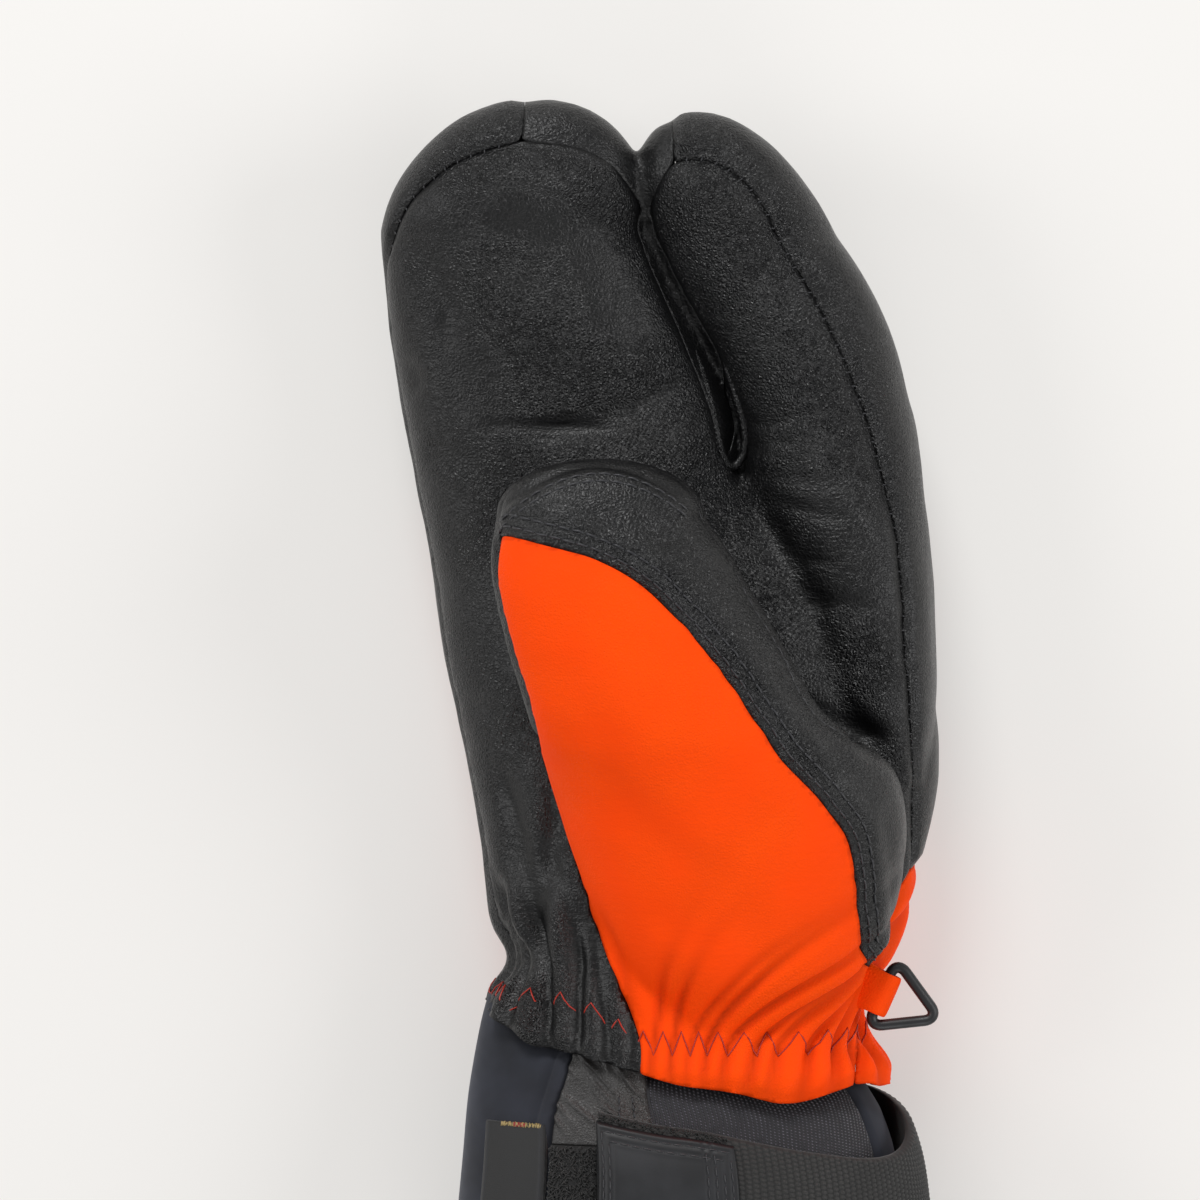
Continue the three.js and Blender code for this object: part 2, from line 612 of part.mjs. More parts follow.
// The cuff and what is sewn on it are patches of wall that follow the cuff's own surface, from
// one angle round it to another. An end's angle may change down the patch, and a level or an edge
// may change round it.
const radians = THREE.MathUtils.degToRad;
function wallPatch({ from, to, high, low, outer, inner, columns, rows }) {
  const points = [];
  const faces = [];
  const valueAt = (value, place) => (typeof value === "function" ? value(place) : value);
  for (const level of [outer, inner]) {
    for (let j = 0; j <= rows; j++) {
      for (let i = 0; i <= columns; i++) {
        const [across, down] = [i / columns, j / rows];
        const angle = THREE.MathUtils.lerp(valueAt(from, down), valueAt(to, down), across);
        const at = THREE.MathUtils.lerp(valueAt(high, angle), valueAt(low, angle), down);
        const push = valueAt(level, angle);
        const point = pointOn(sectionAt(cuff, at), cuff.square, radians(angle), push);
        point.z = Math.max(point.z, level === outer ? 0 : CUFF_WALL);
        points.push(point);
      }
    }
  }
  const at = (side, j, i) => (side * (rows + 1) + j) * (columns + 1) + i;
  const quad = (a, b, c, d) => faces.push([a, b, c], [a, c, d]);
  for (let j = 0; j < rows; j++) {
    for (let i = 0; i < columns; i++) {
      quad(at(0, j, i), at(0, j, i + 1), at(0, j + 1, i + 1), at(0, j + 1, i));
      quad(at(1, j, i), at(1, j + 1, i), at(1, j + 1, i + 1), at(1, j, i + 1));
    }
    quad(at(0, j, 0), at(0, j + 1, 0), at(1, j + 1, 0), at(1, j, 0));
    quad(at(0, j + 1, columns), at(0, j, columns), at(1, j, columns), at(1, j + 1, columns));
  }
  for (let i = 0; i < columns; i++) {
    quad(at(0, 0, i + 1), at(0, 0, i), at(1, 0, i), at(1, 0, i + 1));
    quad(at(0, rows, i), at(0, rows, i + 1), at(1, rows, i + 1), at(1, rows, i));
  }
  return solidFrom(geometryFrom(points, faces));
}

// The angle on the palm side of the cuff at which its surface lies above a place x.
function angleAbove(x, at) {
  const section = sectionAt(cuff, at);
  const share = (x - (section.left + section.right) / 2) / ((section.right - section.left) / 2);
  const cosine = Math.sign(share) * Math.min(1, Math.abs(share)) ** (cuff.square.high / 2);
  return THREE.MathUtils.radToDeg(Math.acos(cosine));
}

const gapAngle = THREE.MathUtils.radToDeg(SEAM_GAP / (CUFF_DEPTH / 2));
const GUSSET_END = 27; // degrees, on the thumb side

// The free edge of the foam wrap, on the palm side. Here x is a share of the cuff's width.
const flapRows = [
  { at: TUCK_LENGTH / CUFF_LENGTH, x: -0.165 },
  { at: -0.03, x: -0.178 },
  { at: -0.28, x: -0.227 },
  { at: -1, x: -0.236 },
].map((row) => ({ at: row.at * CUFF_LENGTH, x: row.x * CUFF_WIDTH }));
const flapAngle = (at) => angleAbove(column(flapRows, "x", at), at);
const flapDown = (top, low, turn) => (down) =>
  flapAngle(THREE.MathUtils.lerp(top, low, down)) - turn;
const leatherWall = joined(-SEAM_GAP, HEM_LENGTH, (tube) => tube.samples)
  .subtract(joined(WALL + SEAM_GAP, 2 * HEM_LENGTH, coarser))
  .intersect(aboveHem(SEAM_GAP));
const GUSSET_DROP = 0.6; // the gusset is thinner than the foam
const cuffSpan = { high: TUCK_LENGTH, low: -CUFF_LENGTH, inner: -CUFF_WALL, rows: 6 };
const wrapPatch = (grow) =>
  wallPatch({
    ...cuffSpan,
    from: flapDown(TUCK_LENGTH, -CUFF_LENGTH, 0),
    to: 360 + GUSSET_END - gapAngle,
    outer: grow,
    columns: 22,
  });
const gussetPatch = (grow) =>
  wallPatch({
    ...cuffSpan,
    from: GUSSET_END,
    to: flapDown(TUCK_LENGTH, -CUFF_LENGTH, gapAngle),
    outer: grow - GUSSET_DROP,
    columns: 10,
  });
const cuffWrap = wrapPatch(0).subtract(leatherWall);
const cuffGusset = gussetPatch(0).subtract(leatherWall);

// A piece sewn on the cuff: thick is its own wall, from the cuff's surface or from lift above it.
const cuffFace = wrapPatch(SEAM_GAP).add(gussetPatch(SEAM_GAP));
const sewnOn = (patch, thick, lift = 0) =>
  wallPatch({
    ...patch,
    outer: lift + SEAM_GAP + thick,
    inner: lift ? lift + SEAM_GAP : -CUFF_WALL / 2,
  }).subtract(cuffFace);

// The strap's upper edge, round the cuff from its sewn end on the back to its tab on the palm
// side. Here at is the angle, and top is a share of the cuff's length.
const strapRows = [
  { at: -62, top: -0.175 },
  { at: -30, top: -0.175 },
  { at: 0, top: -0.215 },
  { at: 32, top: -0.325 },
  { at: 60, top: -0.305 },
  { at: 88, top: -0.24 },
  { at: 116, top: -0.168 },
].map((row) => ({ at: row.at, top: row.top * CUFF_LENGTH }));
const strapTop = (angle) => column(strapRows, "top", angle);
const strapLow = (angle) => strapTop(angle) - STRAP_WIDTH;
const TAB_LEFT = -0.102 * HAND_WIDTH;
const TAB_RIGHT = 0.128 * HAND_WIDTH;
const tabStart = angleAbove(TAB_LEFT, -0.35 * CUFF_LENGTH);
const tabEnd = angleAbove(TAB_RIGHT, -0.4 * CUFF_LENGTH);

// Thin leather placket and loop patch beside the free edge of the foam wrap
const placketTop = -0.03 * CUFF_LENGTH;
const patchTop = -0.29 * CUFF_LENGTH;
const patchLow = strapLow(tabStart);
const placket = sewnOn(
  {
    from: angleAbove(-0.03 * HAND_WIDTH, placketTop),
    to: flapDown(placketTop, patchTop, 4 * gapAngle),
    high: placketTop,
    low: patchTop + SEAM_GAP,
    columns: 4,
    rows: 3,
  },
  PLACKET_WALL - GUSSET_DROP,
).subtract(leatherWall);
const loopPatch = sewnOn(
  {
    from: tabStart + 3 * gapAngle,
    to: flapDown(patchTop, patchLow, 4 * gapAngle),
    high: patchTop,
    low: patchLow,
    columns: 3,
    rows: 4,
  },
  PATCH_WALL - GUSSET_DROP,
);

// The strap starts under its tab, lies over the placket, stands off the thumb side and is sewn
// to the back of the cuff.
const STRAP_LIFT = PLACKET_WALL - GUSSET_DROP + 2 * SEAM_GAP;
const strapStand = (angle) => {
  const bulge = Math.exp(-(((angle - 22) / 32) ** 2));
  const lifted = THREE.MathUtils.smoothstep(angle, -55, -10);
  return THREE.MathUtils.lerp(SEAM_GAP, STRAP_LIFT, lifted) + STRAP_BULGE * bulge;
};
const closureStrap = wallPatch({
  from: strapRows[0].at,
  to: tabStart,
  high: strapTop,
  low: strapLow,
  outer: (angle) => strapStand(angle) + STRAP_WALL,
  inner: strapStand,
  columns: 20,
  rows: 3,
}).subtract(cuffFace);
const TAB_INSET = 0.055 * STRAP_WIDTH;
const strapTab = sewnOn(
  {
    from: tabEnd,
    to: tabStart,
    high: (angle) => strapTop(angle) - TAB_INSET,
    low: (angle) => strapLow(angle) + TAB_INSET,
    columns: 6,
    rows: 3,
  },
  TAB_WALL,
  STRAP_LIFT + STRAP_WALL,
).subtract(closureStrap);
const labelTop = -0.235 * CUFF_LENGTH;
const labelStart = angleAbove(-0.205 * HAND_WIDTH, labelTop);
const cuffLabel = sewnOn(
  {
    from: labelStart,
    to: labelStart + THREE.MathUtils.radToDeg(LABEL_WIDTH / (CUFF_DEPTH / 2)),
    high: labelTop,
    low: labelTop - LABEL_LENGTH,
    columns: 4,
    rows: 4,
  },
  LABEL_WALL,
);

// The triangular ring turns on its bar in an eye at the end of a leather loop. In its own frame
// the bar lies on the Y axis and the far corner points along +X.
const wireHalf = RING_WIRE / 2;
const HOLE_CORNER = 1; // radius
function roundedTriangle(side, corner) {
  const height = (side * Math.sqrt(3)) / 2;
  const path = new THREE.Path();
  const centres = [
    new THREE.Vector2(corner, -side / 2 + corner * Math.sqrt(3)),
    new THREE.Vector2(height - 2 * corner, 0),
    new THREE.Vector2(corner, side / 2 - corner * Math.sqrt(3)),
  ];
  centres.forEach((centre, i) => {
    const start = Math.PI + (i * 2 * Math.PI) / 3;
    path.absarc(centre.x, centre.y, corner, start, start + (2 * Math.PI) / 3, false);
  });
  return path.getPoints(4);
}
const CHAMFER = 0.28 * RING_WIRE;
const CORNER_REACH = 1.09; // the bar's chamfered section, from its middle to a corner
const outerSide = RING_SIDE - 2 * CHAMFER * Math.sqrt(3);
const ringOutline = new THREE.Shape(roundedTriangle(outerSide, RING_CORNER - CHAMFER));
const wireBand = RING_WIRE - 2 * CHAMFER;
const holeSide = outerSide - 2 * wireBand * Math.sqrt(3);
const holePath = roundedTriangle(holeSide, HOLE_CORNER).map((point) => point.setX(point.x + wireBand));
ringOutline.holes.push(new THREE.Path(holePath.reverse()));
const ringGeometry = new THREE.ExtrudeGeometry(ringOutline, {
  depth: wireBand,
  bevelThickness: CHAMFER,
  bevelSize: CHAMFER,
  bevelSegments: 1,
});
ringGeometry.translate(CHAMFER - wireHalf, 0, CHAMFER - wireHalf);

const eyeBore = wireHalf * CORNER_REACH + RUNNING_GAP;
const eyeOuter = eyeBore + LOOP_WALL;
const loopShape = new THREE.Shape();
const tongueHalf = LOOP_WALL;
const tongueStart = Math.asin(tongueHalf / eyeOuter);
const tongueEnd = -LOOP_REACH - 3 * WALL;
loopShape.absarc(0, 0, eyeOuter, Math.PI + tongueStart, 3 * Math.PI - tongueStart, false);
loopShape.lineTo(tongueEnd, tongueHalf);
loopShape.lineTo(tongueEnd, -tongueHalf);
const bore = new THREE.Path();
bore.absarc(0, 0, eyeBore, 0, 2 * Math.PI, true);
loopShape.holes.push(bore);
const loopGeometry = new THREE.ExtrudeGeometry(loopShape, {
  depth: LOOP_WIDTH,
  bevelEnabled: false,
  curveSegments: 8,
});
loopGeometry.translate(0, 0, -LOOP_WIDTH / 2).rotateX(Math.PI / 2);

const ringSeat = pointOn(
  sectionAt(thumb, RING_AT * THUMB_LENGTH),
  thumb.square,
  radians(RING_ROUND),
);
const ringPlace = new THREE.Matrix4()
  .makeTranslation(ringSeat.x + LOOP_REACH, ringSeat.y, ringSeat.z)
  .multiply(new THREE.Matrix4().makeRotationZ(radians(RING_TURN)));
const mittFace = tubeSolid(hand, -SEAM_GAP).add(tubeSolid(thumb, -SEAM_GAP));
const ringLoop = solidFrom(loopGeometry.applyMatrix4(ringPlace)).subtract(mittFace);
const triangleRing = solidFrom(ringGeometry.applyMatrix4(ringPlace));

// The largest body of a solid, without any crumb that a cut leaves beside it.
function mainBody(solid) {
  return solid.decompose().reduce((a, b) => (a.volume() > b.volume() ? a : b));
}

const mitt = new THREE.Group();
function addPiece(name, solid, finish) {
  const mesh = new THREE.Mesh(geometryOf(mainBody(solid)), new THREE.MeshStandardMaterial(finish));
  mesh.name = name;
  mitt.add(mesh);
}
addPiece("palm_panel", palmPanel, BLACK_LEATHER);
addPiece("little_finger_side_strip", ulnarStrip, BLACK_LEATHER);
addPiece("finger_gap_strip", gapStrip, BLACK_LEATHER);
addPiece("index_side_strip", indexStrip, BLACK_LEATHER);
addPiece("pocket_back_panel", pocketBack, BLACK_LEATHER);
addPiece("index_back_panel", indexBack, BLACK_LEATHER);
addPiece("hand_back_panel", handBack, ORANGE_LEATHER);
addPiece("thumb_back_panel", thumbBack, ORANGE_LEATHER);
addPiece("thumb_cap_panel", thumbCap, BLACK_LEATHER);
addPiece("thumb_underside_panel", thumbUnder, BLACK_LEATHER);
addPiece("cuff_wrap", cuffWrap, FOAM_KNIT);
addPiece("cuff_gusset", cuffGusset, WOVEN_STRETCH);
addPiece("cuff_placket", placket, GREY_LEATHER);
addPiece("loop_patch", loopPatch, LOOP_PILE);
addPiece("cuff_label", cuffLabel, LABEL_WEAVE);
addPiece("closure_strap", closureStrap, WEBBING);
addPiece("strap_tab", strapTab, SMOOTH_TAB);
addPiece("ring_loop", ringLoop, ORANGE_LEATHER);
addPiece("triangle_ring", triangleRing, COATED_WIRE);

// The origin is on the floor, under the middle of the whole mitt.
const bounds = new THREE.Box3().setFromObject(mitt);
const centre = bounds.getCenter(new THREE.Vector3());
mitt.children.forEach((mesh) => mesh.position.set(-centre.x, -centre.y, -bounds.min.z));

export default mitt;
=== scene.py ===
"""A three-finger leather ski mitt lying palm up: leather skin, gathered wrist, cuff, strap and ring."""

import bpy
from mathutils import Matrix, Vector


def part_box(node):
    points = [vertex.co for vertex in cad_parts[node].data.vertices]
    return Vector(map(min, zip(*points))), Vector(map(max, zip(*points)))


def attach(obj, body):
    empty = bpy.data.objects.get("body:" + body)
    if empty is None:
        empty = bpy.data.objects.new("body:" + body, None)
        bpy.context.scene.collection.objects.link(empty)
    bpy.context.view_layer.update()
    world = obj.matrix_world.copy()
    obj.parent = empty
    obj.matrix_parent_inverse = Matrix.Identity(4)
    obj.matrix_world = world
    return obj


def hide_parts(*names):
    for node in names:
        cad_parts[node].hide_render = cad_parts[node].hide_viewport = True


bl_info = {
    "name": "Three-finger ski mitt",
    "version": (1, 0, 0),
    "blender": (4, 5, 0),
    "location": "View3D > Sidebar > Mitt",
    "description": "Builds a padded leather ski mitt with its cuff, strap, ring and studio",
    "category": "Object",
}

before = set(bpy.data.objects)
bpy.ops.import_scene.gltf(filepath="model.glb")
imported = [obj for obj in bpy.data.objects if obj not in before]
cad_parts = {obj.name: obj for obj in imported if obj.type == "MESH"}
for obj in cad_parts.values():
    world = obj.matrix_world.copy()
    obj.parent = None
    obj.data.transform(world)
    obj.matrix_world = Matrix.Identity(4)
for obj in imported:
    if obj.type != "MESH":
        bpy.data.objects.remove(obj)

import heapq
import math
from functools import lru_cache
from typing import NamedTuple

import bpy
import numpy as np
from bpy.props import FloatProperty, FloatVectorProperty, PointerProperty
from mathutils import Vector, noise
from mathutils.bvhtree import BVHTree

# What a new Blender file starts with goes first, so that the frame's box is the mitt's alone
for startup in ("Cube", "Light", "Camera"):
    if startup in bpy.data.objects:
        bpy.data.objects.remove(bpy.data.objects[startup])
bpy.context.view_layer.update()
MM = 0.001

# Sizes that the frame's boxes give back, in metres
HAND_LENGTH = 0.203
HAND_WIDTH = 0.120
HAND_DEPTH = 0.050
INDEX_LENGTH = 0.200
INDEX_WIDTH = 0.041
THUMB_LENGTH = 0.124
THUMB_WIDTH = 0.056
THUMB_DEPTH = 0.032
WRIST_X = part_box("index_side_strip")[1][0] - 0.508 * HAND_WIDTH
WRIST_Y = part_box("finger_gap_strip")[1][1] - HAND_LENGTH
RING_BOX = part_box("triangle_ring")
RING_WIRE = round((RING_BOX[1][2] - RING_BOX[0][2]) / MM, 2)
RING_CENTRE = Vector((47.397, -54.204, 45.488)) * MM  # the middle of its bar
RING_TURN = math.radians(-24)

LEATHER_NODES = {
    "palm_panel": "black_leather",
    "little_finger_side_strip": "black_leather",
    "finger_gap_strip": "black_leather",
    "index_side_strip": "black_leather",
    "pocket_back_panel": "black_leather",
    "index_back_panel": "black_leather",
    "hand_back_panel": "orange_leather",
    "thumb_back_panel": "orange_leather",
    "thumb_cap_panel": "black_leather",
    "thumb_underside_panel": "black_leather",
}

# Sections of the three tubes. at is a share of the tube's length from the wrist elastic; left,
# right and middle are shares of the hand's width; low, high and level of the hand's depth; width
# and depth are shares of the tube's own.
THUMB_COLUMNS = ("at", "middle", "width", "level", "depth")
THUMB_ROWS = (
    (-0.15, 0.157, 0.81, 0.68, 1.42),
    (-0.055, 0.16, 0.83, 0.68, 1.38),
    (0.016, 0.16, 0.85, 0.69, 1.35),
    (0.052, 0.157, 0.89, 0.71, 1.43),
    (0.122, 0.15, 1.01, 0.79, 1.53),
    (0.227, 0.141, 1.17, 0.89, 1.53),
    (0.314, 0.135, 1.26, 0.95, 1.6),
    (0.402, 0.122, 1.3, 1.03, 1.56),
    (0.471, 0.1, 1.29, 1.12, 1.46),
    (0.524, 0.06, 1.2, 1.24, 1.22),
    (0.58, 0.016, 1.08, 1.335, 1.0),
    (0.67, -0.025, 1.02, 1.365, 0.98),
    (0.76, -0.062, 0.96, 1.38, 0.97),
    (0.833, -0.087, 0.893, 1.385, 0.93),
    (0.905, -0.107, 0.77, 1.375, 0.82),
)
INDEX_COLUMNS = ("at", "right", "width", "low", "high")
INDEX_ROWS = (
    (0.27, 0.486, 0.42, 0.14, 0.9),
    (0.363, 0.503, 0.65, 0.02, 0.98),
    (0.43, 0.503, 0.78, 0.02, 0.974),
    (0.517, 0.495, 0.9, 0.016, 0.96),
    (0.583, 0.484, 0.965, 0.02, 0.944),
    (0.66, 0.468, 0.936, 0.05, 0.936),
    (0.705, 0.45, 0.96, 0.08, 0.94),
    (0.77, 0.418, 1.033, 0.15, 0.96),
    (0.825, 0.369, 1.038, 0.22, 0.984),
    (0.87, 0.316, 0.988, 0.29, 1.0),
)
HAND_COLUMNS = ("at", "left", "right", "low", "high")
HAND_ROWS = (
    (-0.09, -0.31, 0.46, 0.1, 1.12),
    (-0.024, -0.303, 0.4, 0.14, 1.1),
    (0.015, -0.296, 0.373, 0.17, 1.09),
    (0.045, -0.288, 0.378, 0.165, 1.095),
    (0.08, -0.276, 0.42, 0.12, 1.1),
    (0.112, -0.303, 0.446, 0.08, 1.095),
    (0.142, -0.315, 0.46, 0.05, 1.09),
    (0.197, -0.323, 0.482, 0.01, 1.06),
    (0.3, -0.353, 0.508, -0.024, 1.02),
    (0.42, -0.398, 0.475, -0.028, 0.98),
    (0.488, -0.415, 0.38, -0.028, 0.96),
    (0.55, -0.432, 0.235, -0.024, 0.94),
    (0.59, -0.444, 0.165, -0.014, 0.932),
    (0.62, -0.453, 0.149, -0.01, 0.93),
    (0.67, -0.47, 0.139, 0.04, 0.93),
    (0.74, -0.49, 0.078, 0.1, 0.95),
    (0.8, -0.5, 0.023, 0.18, 0.98),
    (0.862, -0.505, -0.029, 0.28, 1.02),
)
TUBES = {
    "hand": (HAND_ROWS, HAND_COLUMNS, HAND_LENGTH),
    "index": (INDEX_ROWS, INDEX_COLUMNS, INDEX_LENGTH),
    "thumb": (THUMB_ROWS, THUMB_COLUMNS, THUMB_LENGTH),
}
# The middle and the level of each tube's tip
TIPS = {"hand": (-0.221, 0.84), "index": (0.058, 0.8), "thumb": (-0.112, 1.36)}
# How square each tube's sections are on the palm side and on the back, where 2 is an ellipse
TUBE_POWERS = {"hand": (2.5, 2.8), "index": (2.4, 2.6), "thumb": (2.3, 2.3)}
SECTION_STEP = 1.5 * MM
TUBE_SAMPLES = 200  # points round a section
TIP_SECTIONS = 23
VOXEL = 1.1 * MM
RELAX_ROUNDS = 12
LABEL_ROUNDS = 34
# The leather's hem, seen from above: shares of the hand's width and length
HEM_LINE = (
    (-0.6, 0.085),
    (-0.325, 0.059),
    (-0.289, 0.027),
    (-0.23, -0.006),
    (-0.155, -0.012),
    (-0.05, -0.03),
    (0.03, -0.044),
    (0.13, -0.051),
    (0.2, -0.062),
    (0.25, -0.063),
    (0.36, -0.045),
    (0.46, -0.058),
    (0.9, -0.058),
)


# Sizes and colours that a user can change


def linear(hex_colour):
    """An sRGB hex colour as linear red, green, blue and alpha."""
    channels = [int(hex_colour[k : k + 2], 16) / 255 for k in (1, 3, 5)]
    return [c / 12.92 if c <= 0.04045 else ((c + 0.055) / 1.055) ** 2.4 for c in channels] + [1.0]


def size(name, description, millimetres):
    """A length that a user can change."""
    return FloatProperty(
        name=name, description=description, default=millimetres * MM, min=0, unit="LENGTH", precision=4)


def colour(name, description, hex_colour):
    """A colour that a user can change."""
    return FloatVectorProperty(
        name=name, description=description, default=linear(hex_colour),
        size=4, min=0, max=1, subtype="COLOR")


class MittSizes(bpy.types.PropertyGroup):
    """Sizes of the mitt's leather, threads and trim."""

    fold_depth: FloatProperty(
        name="Fold depth", description="How deep folds and gathers are pressed, 1 is as worn in",
        default=1.0, min=0, max=1.5, subtype="FACTOR")
    leather_wall: size("Leather", "Thickness of the outer leather with its lining", 1.4)
    foam_wall: size("Cuff foam", "Thickness of the cuff's foam", 2.6)
    strap_wall: size("Strap", "Thickness of the webbing strap", 1.7)
    stitch: size("Stitch", "Length of one stitch on the thumb cap", 2.1)
    stitch_gap: size("Stitch gap", "Gap between two stitches", 0.9)
    thread: size("Thread", "Width of the sewing thread", 0.5)
    loop_width: size("Ring loop", "Width of the leather loop that holds the ring", 9.2)
    ring_side: size("Ring side", "Length of one side of the ring", 20)
    ring_wire: size("Ring thickness", "Thickness of the ring, as in the frame", RING_WIRE)


class MittColours(bpy.types.PropertyGroup):
    """Colours of the mitt's materials."""

    black_leather: colour("Black leather", "Palm, sides, finger backs and thumb cap", "#0a0a0b")
    orange_leather: colour("Orange leather", "Back of the hand, thumb and ring loop", "#ff4700")
    grey_leather: colour("Grey leather", "Thin leather behind the closure", "#211f1e")
    jersey: colour("Jersey", "Knit face of the foam cuff", "#191b22")
    elastic: colour("Elastic weave", "Ground of the ribbed gusset", "#111016")
    # The floats' paler yarn together with their painted sheen
    elastic_float_and_sheen: colour("Elastic floats", "Light yarn of the ribbed gusset", "#77737f")
    webbing: colour("Webbing", "Tops of the strap's yarns", "#343332")
    tab: colour("Tab", "Coated tab on the strap's end", "#17181b")
    pile: colour("Loop pile", "Tops of the loop patch's yarns", "#2c2b2a")
    label: colour("Label", "Tops of the label's yarns", "#17181e")
    ring: colour("Ring", "Moulded ring", "#17181a")
    seam_thread: colour("Seam thread", "Thread of the seams and the thumb cap", "#2b2b2e")
    elastic_thread: colour("Elastic thread", "Zigzag thread that holds the elastic", "#a5230f")
    floor: colour("Floor", "Backlit acrylic that the mitt lies on", "#f3f1ee")


# The form of the hand, as one skin


def column(rows, index, at):
    """A smooth curve through one column of a table, at one or many places along it."""
    table = np.array(rows, float)
    x, y = table[:, 0], table[:, index]
    slope = np.gradient(y, x)
    slope[1:-1] = (y[2:] - y[:-2]) / (x[2:] - x[:-2])
    i = np.clip(np.searchsorted(x, at) - 1, 0, len(x) - 2)
    span = x[i + 1] - x[i]
    t = (at - x[i]) / span
    return (
        y[i] * (2 * t**3 - 3 * t**2 + 1)
        + slope[i] * span * (t**3 - 2 * t**2 + t)
        + y[i + 1] * (3 * t**2 - 2 * t**3)
        + slope[i + 1] * span * (t**3 - t**2)
    )


def tube_sections(name):
    """Every section of a tube as (y, left, right, low, high), in metres from the wrist elastic."""
    rows, columns, length = TUBES[name]
    start, last = rows[0][0], rows[-1][0]
    at = np.linspace(start, last, int((last - start) * length / SECTION_STEP))

    def value(label):
        return column(rows, columns.index(label), at)

    if name == "thumb":
        middle, half = value("middle") * HAND_WIDTH, value("width") * THUMB_WIDTH / 2
        level, rise = value("level") * HAND_DEPTH, value("depth") * THUMB_DEPTH / 2
        limits = [middle - half, middle + half, level - rise, level + rise]
    else:
        right = value("right") * HAND_WIDTH
        left = right - value("width") * INDEX_WIDTH if name == "index" else value("left") * HAND_WIDTH
        limits = [left, right, value("low") * HAND_DEPTH, value("high") * HAND_DEPTH]
    body = np.column_stack([at * length, *limits])
    tip_middle, tip_level = TIPS[name]
    end = body[-1]
    along = np.sin(np.linspace(0, 1, TIP_SECTIONS + 1)[1:] * math.pi / 2)
    share = np.sqrt(np.maximum(1 - along**2, 1e-6))
    middle = end[1:3].mean() * (1 - along) + tip_middle * HAND_WIDTH * along
    level = end[3:5].mean() * (1 - along) + tip_level * HAND_DEPTH * along
    half, rise = (end[2] - end[1]) / 2 * share, (end[4] - end[3]) / 2 * share
    y = end[0] * (1 - along) + length * along
    return np.vstack([body, np.column_stack([y, middle - half, middle + half, level - rise, level + rise])])


def ring_faces(rings, sides, closed=False):
    """The faces of a tube of rings of points, with its two ends closed or joined."""
    k = np.arange(sides)
    faces = []
    for ring in range(rings if closed else rings - 1):
        a, b = ring * sides, (ring + 1) % rings * sides
        faces += np.column_stack([a + k, a + (k + 1) % sides, b + (k + 1) % sides, b + k]).tolist()
    if not closed:
        faces.append(k[::-1].tolist())
        faces.append((k + (rings - 1) * sides).tolist())
    return faces


def tube_mesh(name, power_high, power_low):
    """A closed tube through its sections, flattened where it rests on the floor."""
    sections = tube_sections(name)
    angle = np.linspace(0, 2 * math.pi, TUBE_SAMPLES, endpoint=False)
    power = np.where(np.sin(angle) > 0, power_high, power_low)
    cos = np.sign(np.cos(angle)) * np.abs(np.cos(angle)) ** (2 / power)
    sin = np.sign(np.sin(angle)) * np.abs(np.sin(angle)) ** (2 / power)
    y, left, right, low, high = (sections[:, k, None] for k in range(5))
    x = (left + right) / 2 + (right - left) / 2 * cos
    z = np.maximum((low + high) / 2 + (high - low) / 2 * sin, 0)
    points = np.stack([x + WRIST_X, np.broadcast_to(y, x.shape) + WRIST_Y, z], axis=2)
    return points.reshape(-1, 3), ring_faces(len(sections), TUBE_SAMPLES)


def new_object(name, points, faces):
    """A mesh object that is linked to the scene."""
    mesh = bpy.data.meshes.new(name)
    mesh.from_pydata([tuple(p) for p in points], [], [tuple(f) for f in faces])
    obj = bpy.data.objects.new(name, mesh)
    bpy.context.scene.collection.objects.link(obj)
    return obj


def mesh_arrays(mesh):
    """A mesh's points and triangles as arrays."""
    points = np.empty(len(mesh.vertices) * 3)
    mesh.vertices.foreach_get("co", points)
    mesh.calc_loop_triangles()
    triangles = np.empty(len(mesh.loop_triangles) * 3, np.int64)
    mesh.loop_triangles.foreach_get("vertices", triangles)
    return points.reshape(-1, 3), triangles.reshape(-1, 3)


def voxel_union(obj, voxel):
    """One skin round all that the object holds, as points and triangles."""
    modifier = obj.modifiers.new("voxels", "REMESH")
    modifier.mode = "VOXEL"
    modifier.voxel_size = voxel
    depsgraph = bpy.context.evaluated_depsgraph_get()
    mesh = bpy.data.meshes.new_from_object(obj.evaluated_get(depsgraph))
    arrays = mesh_arrays(mesh)
    bpy.data.objects.remove(obj)
    bpy.data.meshes.remove(mesh)
    return arrays


